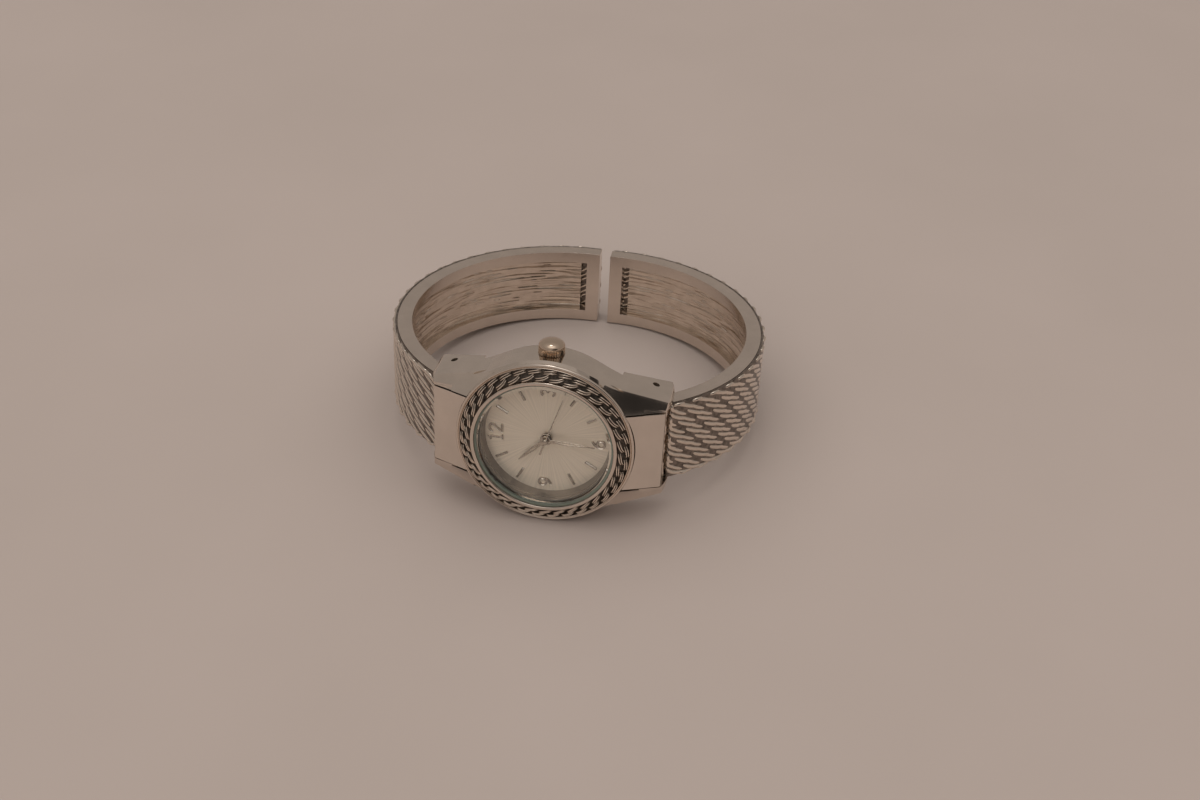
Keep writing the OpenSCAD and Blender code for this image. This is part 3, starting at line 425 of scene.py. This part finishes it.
# Dial
# A thin plated disc, brushed from the middle outwards so that it shows soft rays. A satin ring
# with fine turned lines keeps it at its distance under the glass.
DIAL_Y = 4.0


def polar(tree):
    """Angle round the dial's middle, 0 to 1, and the distance from it in metres."""
    place = tree.nodes.new("ShaderNodeTexCoord")
    own = tree.nodes.new("ShaderNodeMapping")
    own.vector_type = "TEXTURE"
    own.inputs["Location"].default_value = glass_centre
    own.inputs["Rotation"].default_value = own_frame.to_euler()
    face_on = tree.nodes.new("ShaderNodeMapping")
    face_on.inputs["Rotation"].default_value = (math.radians(-90), 0, 0)
    rays = tree.nodes.new("ShaderNodeTexGradient")
    rays.gradient_type = "RADIAL"
    axes = tree.nodes.new("ShaderNodeSeparateXYZ")
    flat_on = tree.nodes.new("ShaderNodeCombineXYZ")
    reach = tree.nodes.new("ShaderNodeVectorMath")
    reach.operation = "LENGTH"
    tree.links.new(place.outputs["Object"], own.inputs["Vector"])
    tree.links.new(own.outputs["Vector"], face_on.inputs["Vector"])
    tree.links.new(face_on.outputs["Vector"], rays.inputs["Vector"])
    tree.links.new(face_on.outputs["Vector"], axes.inputs["Vector"])
    tree.links.new(axes.outputs["X"], flat_on.inputs["X"])
    tree.links.new(axes.outputs["Y"], flat_on.inputs["Y"])
    tree.links.new(flat_on.outputs["Vector"], reach.inputs[0])
    return rays.outputs["Fac"], reach.outputs["Value"]


dial_silver, tree, shader = new_finish("dial_silver", (0.78, 0.67, 0.56), 0.32, 0.6)
angle = polar(tree)[0]
brushing = tree.nodes.new("ShaderNodeTexNoise")
brushing.noise_dimensions = "1D"
brushing.inputs["Scale"].default_value = 150
brushing.inputs["Detail"].default_value = 4
brushing.inputs["Roughness"].default_value = 0.6
tree.links.new(angle, brushing.inputs["W"])
tree.links.new(spread(tree, brushing.outputs["Fac"], 0.28, 0.38), shader.inputs["Roughness"])
tint(tree, shader, brushing.outputs["Fac"], (0.71, 0.61, 0.51), (0.85, 0.73, 0.61))
relief(tree, shader, brushing.outputs["Fac"], 0.02, 0.35)
dress(dial_silver, "dial")

ring_grey, tree, shader = new_finish("ring_grey", (0.22, 0.19, 0.165), 0.3, 0.8)
turning = tree.nodes.new("ShaderNodeTexNoise")
turning.noise_dimensions = "1D"
turning.inputs["Scale"].default_value = 9000
turning.inputs["Detail"].default_value = 1
tree.links.new(polar(tree)[1], turning.inputs["W"])
tree.links.new(spread(tree, turning.outputs["Fac"], 0.22, 0.42), shader.inputs["Roughness"])
relief(tree, shader, turning.outputs["Fac"], 0.03)
dress(ring_grey, "dial_ring")

# Hour batons
# Bars of plated wire with a flat top and two long facets, pressed into the dial. They stand at
# every hour but 12, 3, 6 and 9.
BATON_LENGTH = 2.2
BATON_WIDTH = 0.42
BATON_HEIGHT = 0.25
BATON_AT = 8.5


def dial_turn(hours):
    """Turns a drawing that points from the middle to 6 so that it points to an hour."""
    return Matrix.Rotation(math.radians(30 * hours - 180), 4, "Y")


applied_silver = polished_steel("applied_silver", (0.5, 0.44, 0.385), 0.14, 0.24, 0.002)
bm = bmesh.new()
for hour in (1, 2, 4, 5, 7, 8, 10, 11):
    bar = bmesh.ops.create_cube(bm, size=1)["verts"]
    bmesh.ops.scale(bm, verts=bar, vec=(BATON_LENGTH, BATON_HEIGHT, BATON_WIDTH))
    bmesh.ops.translate(bm, verts=bar, vec=(BATON_AT, DIAL_Y - BATON_HEIGHT / 2, 0))
    top = [
        e for e in {e for v in bar for e in v.link_edges}
        if all(v.co.y < DIAL_Y - BATON_HEIGHT / 2 for v in e.verts)
    ]
    facets = bmesh.ops.bevel(
        bm, geom=top, offset=0.12, offset_type="OFFSET", segments=1, profile=0.5,
        affect="EDGES", clamp_overlap=True, material=-1,
    )["faces"]
    bar = {v for f in facets for v in f.verts} | {v for v in bar if v.is_valid}
    bmesh.ops.transform(bm, matrix=dial_turn(hour), verts=list(bar))
batons = finish_piece(bm, "hour_batons", "case", applied_silver)
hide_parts("dial_batons")

# Hour numerals
# Stamped figures for 12, 3, 6 and 9, plated like the batons, with a fine line sunk along the
# middle of each stroke.
bm = bmesh.new()
bm.from_mesh(nodes["dial_numerals"].data)
bmesh.ops.remove_doubles(bm, verts=bm.verts, dist=2e-6)
bm.transform(own_frame.inverted())
bm.normal_update()
tops = [f for f in bm.faces if f.normal.y < -0.9]
bmesh.ops.inset_region(
    bm, faces=tops, thickness=0.09, depth=0, use_even_offset=False, use_boundary=True
)
bmesh.ops.translate(
    bm, verts=list({v for f in tops if f.is_valid for v in f.verts}), vec=(0, 0.07, 0)
)
numerals = finish_piece(bm, "hour_numerals", "case", applied_silver)
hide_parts("dial_numerals")

# Hands
# Thin stamped and polished hands, pressed on their pipes. The seconds hand has a cap.
hand_silver = polished_steel("hand_silver", (0.52, 0.455, 0.39), 0.08, 0.15, 0.002)
softened("hour_hand", 0.04, 1, "hour", hand_silver)
softened("minute_hand", 0.04, 1, "minute", hand_silver)
softened("second_hand", 0.03, 1, "seconds", hand_silver)

# Glass and its gasket
# A flat disc of mineral glass with a polished bevel, held in the bezel by a plastic ring. Its
# rim shows grey green.
mineral_glass, tree, shader = new_finish(
    "mineral_glass", (0.985, 1.0, 0.99), 0.0, 0.0, Transmission_Weight=1.0, IOR=1.5
)
clear = tree.nodes.new("ShaderNodeBsdfTransparent")
clear.inputs["Color"].default_value = (0.96, 0.97, 0.96, 1)
ray = tree.nodes.new("ShaderNodeLightPath")
lets_light_through = tree.nodes.new("ShaderNodeMixShader")
tree.links.new(ray.outputs["Is Shadow Ray"], lets_light_through.inputs["Fac"])
tree.links.new(shader.outputs["BSDF"], lets_light_through.inputs[1])
tree.links.new(clear.outputs["BSDF"], lets_light_through.inputs[2])
tree.links.new(
    lets_light_through.outputs["Shader"], tree.nodes["Material Output"].inputs["Surface"]
)
dress(mineral_glass, "crystal")
gasket_plastic, tree, shader = new_finish("gasket_plastic", (0.2, 0.23, 0.19), 0.35)
tree.links.new(spread(tree, grain(tree, 2000), 0.3, 0.45), shader.inputs["Roughness"])
dress(gasket_plastic, "crystal_gasket")

# Bezel
# A turned steel ring with a bright inner lip and two fine ridges round its outer edge. Between
# them a band lies deeper, and carries the chain over a sheet painted dark as painted shade.
BAND_IN = 11.95
BAND_OUT = 13.8
BAND_FALL = 0.577
BAND_RIM = 11.9
BAND_DEPTH = 0.72


def band_top(radius):
    """Depth below the glass's middle of the cone on which the chain's top lies."""
    return BAND_FALL * (radius - BAND_RIM)


bezel_outline = (
    (11.3, 1.95), (11.3, 0.22), (11.36, 0.06), (11.48, 0), (11.72, 0), (11.84, 0.04),
    (11.92, 0.14), (BAND_IN, band_top(BAND_IN) + BAND_DEPTH),
    (BAND_OUT, band_top(BAND_OUT) + BAND_DEPTH), (13.82, 1.2), (13.87, 1.1), (13.95, 1.08),
    (14.01, 1.16), (14.05, 1.3), (14.1, 1.26), (14.16, 1.16), (14.26, 1.13), (14.38, 1.2),
    (14.5, 1.38), (14.5, 1.6), (14.3, 1.78), (13.86, 1.84), (13.86, 3.1), (12.0, 3.1),
    (12.0, 1.95),
)
bezel_steel = polished_steel("bezel_steel", low=0.08, high=0.15, waviness=0.003)
bm = bmesh.new()
turned(bm, bezel_outline, steps=144)
bmesh.ops.remove_doubles(bm, verts=bm.verts, dist=1e-5)
bmesh.ops.recalc_face_normals(bm, faces=bm.faces)
bezel = finish_piece(bm, "bezel_turned", "case", bezel_steel, math.radians(50))
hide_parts("bezel_ring")

# Bezel chain
# A curb chain cast in the band, over a ground painted near black as painted shade between the
# links. Each link is an outer hook and an inner leaf, both of doubled wire and slanted the same
# way round.
BEZEL_LINKS = 34


def wire(bm, path, widths, heights, across):
    """A six-sided wire through the points of path; across is the direction of its width."""
    rings = []
    for k, point in enumerate(path):
        ahead = (path[min(k + 1, len(path) - 1)] - path[max(k - 1, 0)]).normalized()
        up = ahead.cross(across).normalized()
        side = up.cross(ahead)
        place = Matrix.Translation(point) @ Matrix(
            (side * widths[k], up * heights[k], ahead)
        ).transposed().to_4x4()
        ring = bmesh.ops.create_circle(
            bm, cap_ends=k in (0, len(path) - 1), segments=6, radius=1, matrix=place
        )["verts"]
        rings.append(ring)
    skinned(bm, rings)


def laid_stroke(bm, stroke, shift, radius):
    """A wire of the chain: stroke gives places in link pitches, radii and heights above ground."""
    path = []
    for turn, r, height in stroke:
        angle = math.tau / BEZEL_LINKS * turn
        r += shift
        depth = band_top(r) + BAND_DEPTH - height
        path.append(Vector((r * math.sin(angle), depth, r * math.cos(angle))))
    thin = [0.72] + [1] * (len(stroke) - 2) + [0.72]
    wire(bm, path, [radius * t for t in thin], [radius * 1.25 * t for t in thin],
         Vector((0, BAND_FALL, 1)).normalized())


outer_hook = ((-0.2, 13.06, 0.25), (-0.08, 13.26, 0.5), (0.12, 13.4, 0.66), (0.36, 13.47, 0.7),
              (0.58, 13.5, 0.6), (0.72, 13.46, 0.26))
inner_leaf = ((-0.74, 12.2, 0.24), (-0.58, 12.3, 0.5), (-0.34, 12.42, 0.66),
              (-0.08, 12.56, 0.68), (0.12, 12.76, 0.56), (0.26, 12.98, 0.26))
bm = bmesh.new()
laid_stroke(bm, outer_hook, 0.16, 0.135)
laid_stroke(bm, outer_hook, -0.15, 0.14)
laid_stroke(bm, inner_leaf, 0.15, 0.14)
laid_stroke(bm, inner_leaf, -0.16, 0.135)
bmesh.ops.recalc_face_normals(bm, faces=bm.faces)
one_link = list(bm.verts) + list(bm.edges) + list(bm.faces)
bmesh.ops.spin(
    bm, geom=one_link, cent=(0, 0, 0), axis=(0, 1, 0), dvec=(0, 0, 0),
    angle=math.tau * (BEZEL_LINKS - 1) / BEZEL_LINKS, steps=BEZEL_LINKS - 1, use_duplicate=True,
)
link_steel = polished_steel("bezel_link_steel", (0.8, 0.71, 0.62), 0.08, 0.15, 0.003)
links = finish_piece(bm, "bezel_links", "case", link_steel, math.radians(80))
rounding = links.modifiers.new("rounding", "SUBSURF")
rounding.levels = rounding.render_levels = 1
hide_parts("bezel_chain")

# a thin sheet just above the band's floor, painted near black: painted shade between the links
ground = bmesh.new()
for radius in (BAND_IN + 0.02, BAND_OUT - 0.02):
    bmesh.ops.create_circle(ground, cap_ends=False, segments=144, radius=radius)
bmesh.ops.bridge_loops(ground, edges=ground.edges)
for v in ground.verts:
    v.co = (v.co.x, band_top(v.co.xy.length) + BAND_DEPTH - 0.03, v.co.y)
bmesh.ops.solidify(ground, geom=ground.faces, thickness=0.02)
bmesh.ops.recalc_face_normals(ground, faces=ground.faces)
# the sheet's near black is painted shade, with a random tone over it
shade_painted_ground, tree, shader = new_finish("shade_painted_ground", (0.09, 0.075, 0.065), 0.4, 0.8)
tint(tree, shader, grain(tree, 1800), (0.05, 0.042, 0.036), (0.15, 0.125, 0.105))
finish_piece(ground, "bezel_shade_sheet", "case", shade_painted_ground)

# Crown
# Turned, with a domed and polished top over a barrel with fine flutes, in a warmer metal than the
# case.
CROWN_FOOT = 14.24
BARREL_TOP = 15.9
CROWN_TOP = 16.85
BARREL_RADIUS = 2.0
DOME_RADIUS = 2.08
FLUTES = 30
FLUTE_DEPTH = 0.05
crown_outline = [(0.0, CROWN_FOOT), (1.7, CROWN_FOOT), (1.9, CROWN_FOOT + 0.08)]
crown_outline += [(BARREL_RADIUS, CROWN_FOOT + 0.16 + 0.24 * k) for k in range(6)]
crown_outline += [(2.06, BARREL_TOP)]
crown_outline += [
    (DOME_RADIUS * math.cos(math.radians(a)),
     BARREL_TOP + (CROWN_TOP - BARREL_TOP) * math.sin(math.radians(a)))
    for a in range(2, 88, 6)
]
crown_outline += [(0.0, CROWN_TOP)]
bm = bmesh.new()
corners = [bm.verts.new((r, CROWN_Y, z)) for r, z in crown_outline]
outline = [bm.edges.new((a, b)) for a, b in zip(corners, corners[1:])]
bmesh.ops.spin(
    bm, geom=corners + outline, cent=(0, CROWN_Y, 0), axis=(0, 0, 1), dvec=(0, 0, 0),
    angle=math.tau, steps=FLUTES * 4, use_merge=True,
)
bmesh.ops.remove_doubles(bm, verts=bm.verts, dist=1e-4)
for v in bm.verts:
    if CROWN_FOOT + 0.1 < v.co.z < BARREL_TOP - 0.02:
        turn = math.atan2(v.co.y - CROWN_Y, v.co.x)
        fluted = 1 + FLUTE_DEPTH * math.cos(FLUTES * turn)
        v.co.x *= fluted
        v.co.y = CROWN_Y + (v.co.y - CROWN_Y) * fluted
bmesh.ops.recalc_face_normals(bm, faces=bm.faces)
crown_gold = polished_steel("crown_gold", (0.68, 0.55, 0.435), 0.1, 0.18, 0.003)
crown = finish_piece(bm, "crown_domed", "crown", crown_gold, math.radians(50))
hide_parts("crown")

# Cover plates
# A flat bent plate closes the room between two ears in front of the hinge, with a hair of room
# on either side.
plate_steel = polished_steel("plate_steel", (0.75, 0.675, 0.6), 0.12, 0.22, 0.005)
for side in ("left", "right"):
    softened(side + "_cover_plate", 0.1, 2, "case", plate_steel, squeeze=0.98)

# Hinge springs
# Drawn wire wound round the pin between the knuckles.
spring_steel, tree, shader = new_finish("spring_steel", (0.36, 0.34, 0.31), 0.3, 1.0)
relief(tree, shader, grain(tree, 3000, 2), 0.004)
dress(spring_steel, "left_hinge_spring", "right_hinge_spring")

# Arm frames
# Each arm is cast in one curve, its rails and end bar ground flat and polished, with a long
# window that the chain relief closes.
frame_steel = polished_steel("frame_steel", (0.75, 0.66, 0.58), 0.13, 0.24, 0.005)
for side in ("left", "right"):
    softened(side + "_arm_frame", 0.28, 3, side + "_arm", frame_steel)

# Chain relief of the arms
# Rows of cast links on the outside of each arm, the first and last cut off by its beaded edges.
# A link is two wires side by side that start thin, run down across the row in a bow and tuck
# their ends under the next row.
BEND_X = 2.2
CUFF_Y = 31.3
FRAME_OUT = 29.3
RELIEF_FROM = math.radians(-55.05)
RELIEF_TO = math.radians(91.9)
ROW_COUNT = 9
ROW_PITCH = 1.755
TOP_ROW = 7.33
LINK_COUNT = 22
LINK_PITCH = 3.58
SHORTEST_LINK = 2.2
EDGE_FROM = 6.2
EDGE_BEND = 0.55
WIRE_SWELL = (0.8, 0.95, 1.02, 1.05, 1, 0.86, 0.6)
lower_wire = ((-0.55, 0.16, 0.2), (0.05, -0.46, 0.42), (0.95, -0.98, 0.48), (2.0, -1.45, 0.52),
              (3.0, -1.82, 0.48), (3.8, -1.98, 0.34), (4.35, -1.9, 0.04))
upper_wire = ((-0.35, 0.8, 0.18), (0.35, 0.42, 0.4), (1.1, 0.0, 0.46), (2.0, -0.5, 0.5),
              (2.9, -0.92, 0.46), (3.6, -1.14, 0.32), (4.05, -1.2, 0.04))
edge_bead = ((0.0, 6.35, 0.2), (0.35, 6.6, 0.45), (0.8, 6.72, 0.62), (1.25, 6.76, 0.68),
             (1.7, 6.72, 0.6), (2.1, 6.6, 0.42), (2.4, 6.45, 0.2))


def on_arm(along, height, across):
    """A point on an arm: along the frame's outside, off it, and across to the crown side."""
    angle = RELIEF_FROM + along / FRAME_OUT
    r = FRAME_OUT + height
    return Vector((BEND_X + r * math.cos(angle), CUFF_Y + r * math.sin(angle), across))


def both_arms(name, slot, material, build, smooth_below, *replaced):
    """Builds a piece on the right arm and the same, turned half round, on the left."""
    pieces = []
    for side, way in (("right", 1), ("left", -1)):
        bm = build()
        bm.transform(Matrix.Diagonal((way, 1, way, 1)))
        bmesh.ops.recalc_face_normals(bm, faces=bm.faces)
        piece = finish_piece(bm, side + "_" + name, side + "_arm", material, smooth_below)
        for node in replaced:
            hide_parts(side + node)
        pieces.append(piece)
    return pieces


def eased(across):
    """Bends what would leave the arm's edge along it."""
    over = abs(across) - EDGE_FROM
    if over <= 0:
        return across
    return math.copysign(EDGE_FROM + EDGE_BEND * (1 - math.exp(-over / EDGE_BEND)), across)


def bent_wire(bm, blank, points, width, height):
    """Adds the straight wire blank to bm, bent through points on the arm."""
    bent = blank.copy()
    for v in bent.vertices:
        at = round(v.co.x)
        ahead = (points[min(at + 1, len(points) - 1)] - points[max(at - 1, 0)]).normalized()
        out = points[at] - Vector((BEND_X, CUFF_Y, points[at].z))
        side = ahead.cross(out).normalized()
        up = side.cross(ahead)
        thick = WIRE_SWELL[at]
        v.co = points[at] + side * v.co.z * width * thick + up * v.co.y * height * thick
    bm.from_mesh(bent)
    bpy.data.meshes.remove(bent)


def link_relief():
    """The links of one arm, and the beads along its edges."""
    dice = random.Random(7)
    straight = bmesh.new()
    even = [1] * len(WIRE_SWELL)
    wire(straight, [Vector((k, 0, 0)) for k in range(len(even))], even, even, Vector((0, 0, 1)))
    blank = bpy.data.meshes.new("straight_wire")
    straight.to_mesh(blank)
    straight.free()
    bm = bmesh.new()
    reach = FRAME_OUT * (RELIEF_TO - RELIEF_FROM)
    for row in range(ROW_COUNT):
        middle = TOP_ROW - row * ROW_PITCH
        shift = 0.39 if row % 2 == 0 else 0.87
        wires = ((lower_wire, 0.44), (upper_wire, 0.4))
        if row == 0:
            wires = wires[:1]
        elif row == ROW_COUNT - 1:
            wires = wires[1:]
        for k in range(-1, LINK_COUNT):
            start = (k + shift) * LINK_PITCH + dice.uniform(-0.06, 0.06)
            for path, width in wires:
                points = [
                    on_arm(min(max(start + s, 0.1), reach - 0.1), h, eased(middle + v))
                    for s, v, h in path
                ]
                if (points[-1] - points[0]).length > SHORTEST_LINK:
                    bent_wire(bm, blank, points, width, 0.34)
    for edge, first in ((1, 0.25), (-1, 1.9)):
        for k in range(LINK_COUNT):
            start = first + k * LINK_PITCH + dice.uniform(-0.1, 0.1)
            points = [on_arm(start + s, h, edge * v) for s, v, h in edge_bead]
            if start + edge_bead[-1][0] < reach:
                bent_wire(bm, blank, points, 0.32, 0.3)
    bpy.data.meshes.remove(blank)
    return bm


chain_steel = polished_steel("chain_steel", (0.78, 0.69, 0.6), 0.08, 0.15, 0.004)
for relief_piece in both_arms(
    "arm_links", "chain_steel", chain_steel, link_relief, math.radians(80), "_arm_chain"
):
    rounding = relief_piece.modifiers.new("rounding", "SUBSURF")
    rounding.levels = rounding.render_levels = 1


GROUND_HEIGHT = 0.26
GROUND_WIDTH = 13.8


def relief_ground():
    """The ground under the links, painted dark as painted shade, a strip whose edges droop to the
    arm.
    """
    bm = bmesh.new()
    strip = bmesh.ops.create_grid(bm, x_segments=80, y_segments=24, size=0.5)["verts"]
    for v in strip:
        along = (v.co.x + 0.5) * FRAME_OUT * (RELIEF_TO - RELIEF_FROM)
        droop = max(0.0, abs(v.co.y) - 0.455) / 0.045
        v.co = on_arm(along, GROUND_HEIGHT * (1 - droop), v.co.y * GROUND_WIDTH)
    bmesh.ops.recalc_face_normals(bm, faces=bm.faces)
    bmesh.ops.solidify(bm, geom=bm.faces, thickness=0.36)
    return bm


# the ground's dark colour is painted shade between the links, with a random tone over it
arm_shade_ground, tree, shader = new_finish("arm_shade_ground", (0.3, 0.255, 0.22), 0.35, 0.95)
tint(tree, shader, grain(tree, 1500), (0.11, 0.093, 0.08), (0.32, 0.27, 0.235))
both_arms("arm_shade_ground", "chain_steel", arm_shade_ground, relief_ground, CORNER)

# Back of the chain relief
# The rough back of the casting, seen in the window of each arm: long uneven grooves that run
# with the arm, worn bright on their crests. It stops short of the end bar.
BACK_RADIUS = 27.9
BACK_FROM = math.radians(-45.4)
BACK_TO = math.radians(85.0)
BACK_WIDTH = 10.04
# two sets of grooves: how fast they change along and across the arm, seed, breadth and depth
GROOVES = ((0.04, 1.3, 3.1, 0.16, 0.14), (0.06, 2.4, 8.4, 0.2, 0.09))


def grooved_back():
    """The back of one arm's relief, a strip with grooves."""
    bm = bmesh.new()
    bmesh.ops.create_grid(bm, x_segments=200, y_segments=64, size=0.5)
    for v in bm.verts:
        angle = BACK_FROM + (BACK_TO - BACK_FROM) * (v.co.x + 0.5)
        along = BACK_RADIUS * angle
        across = v.co.y * BACK_WIDTH
        r = BACK_RADIUS + 0.1 * noise.noise((along * 0.12, across * 0.5, 5.7))
        for along_rate, across_rate, seed, breadth, depth in GROOVES:
            line = noise.noise((along * along_rate, across * across_rate, seed))
            r += max(0.0, 1 - abs(line) / breadth) * depth
        v.co = (BEND_X + r * math.cos(angle), CUFF_Y + r * math.sin(angle), across)
    bmesh.ops.recalc_face_normals(bm, faces=bm.faces)
    bmesh.ops.solidify(bm, geom=bm.faces, thickness=0.6)
    return bm


inner_steel, tree, shader = new_finish("inner_steel", (0.8, 0.69, 0.585), 0.26, 1.0)
tint(tree, shader, grain(tree, 700, 3), (0.72, 0.62, 0.525), (0.86, 0.745, 0.635))
relief(tree, shader, grain(tree, 1600, 3), 0.012)
both_arms("arm_inside", "inner_steel", inner_steel, grooved_back, math.radians(60), "_chain_back")

# Floor and light
# A plain pale floor in a pale room, a wide soft lamp above and a little behind, a weak one in
# front and a small one for the glints. The room is dark where the photographer stands.
bm = bmesh.new()
bmesh.ops.create_grid(bm, x_segments=1, y_segments=1, size=3)
floor_mesh = bpy.data.meshes.new("floor")
bm.to_mesh(floor_mesh)
bm.free()
floor = bpy.data.objects.new("floor", floor_mesh)
bpy.context.scene.collection.objects.link(floor)
floor_paint, tree, shader = new_finish("floor_paint", (0.4, 0.335, 0.3), 0.6)
shader.inputs["Specular IOR Level"].default_value = 0.2
tint(tree, shader, grain(tree, 14, 3), (0.39, 0.327, 0.292), (0.41, 0.343, 0.308))
floor_mesh.materials.append(floor_paint)

world = bpy.data.worlds.new("room")
bpy.context.scene.world = world
world.use_nodes = True
sky = world.node_tree
heading = sky.nodes.new("ShaderNodeTexCoord")
height = sky.nodes.new("ShaderNodeSeparateXYZ")
sky.links.new(heading.outputs["Generated"], height.inputs["Vector"])
room = sky.nodes.new("ShaderNodeValToRGB")
room.color_ramp.elements[0].position = 0.0
room.color_ramp.elements[0].color = (0.33, 0.29, 0.262, 1)
room.color_ramp.elements[1].position = 1.0
room.color_ramp.elements[1].color = (1.1, 1.02, 0.96, 1)
wall_top = room.color_ramp.elements.new(0.66)
wall_top.color = (0.31, 0.276, 0.251, 1)
ceiling = room.color_ramp.elements.new(0.9)
ceiling.color = (0.42, 0.38, 0.35, 1)
sky.links.new(height.outputs["Z"], room.inputs["Fac"])
facing = sky.nodes.new("ShaderNodeVectorMath")
facing.operation = "DOT_PRODUCT"
facing.inputs[1].default_value = Vector((0.57, -0.71, 0.42)).normalized()
sky.links.new(heading.outputs["Generated"], facing.inputs[0])
shade = sky.nodes.new("ShaderNodeMapRange")
shade.interpolation_type = "SMOOTHSTEP"
shade.inputs["From Min"].default_value = math.cos(math.radians(30))
shade.inputs["From Max"].default_value = math.cos(math.radians(16))
sky.links.new(facing.outputs["Value"], shade.inputs["Value"])
darken = sky.nodes.new("ShaderNodeMix")
darken.data_type = "RGBA"
darken.inputs["B"].default_value = (0.03, 0.027, 0.025, 1)
sky.links.new(shade.outputs["Result"], darken.inputs["Factor"])
sky.links.new(room.outputs["Color"], darken.inputs["A"])
sky.links.new(darken.outputs["Result"], sky.nodes["Background"].inputs["Color"])


def soft_lamp(name, place, size, power, colour, mirrored):
    """Adds a soft panel that shines at the middle of the floor."""
    data = bpy.data.lights.new(name, "AREA")
    data.shape = "RECTANGLE"
    data.size, data.size_y = size
    data.energy = power
    data.color = colour
    lamp = bpy.data.objects.new(name, data)
    bpy.context.scene.collection.objects.link(lamp)
    lamp.visible_glossy = mirrored
    lamp.location = place
    lamp.rotation_euler = (-Vector(place)).to_track_quat("-Z", "Y").to_euler()


soft_lamp("ceiling_panel", (0, 0.1, 1.6), (3.6, 3.6), 35.0, (1, 0.985, 0.97), False)
soft_lamp("front_panel", (-0.35, -1.0, 0.7), (1.2, 0.8), 3.0, (1, 0.97, 0.94), False)
soft_lamp("glint_lamp", (-0.1, 0.35, 1.1), (0.16, 0.16), 0.3, (1, 0.97, 0.93), True)
bpy.context.scene.view_settings.view_transform = "Standard"
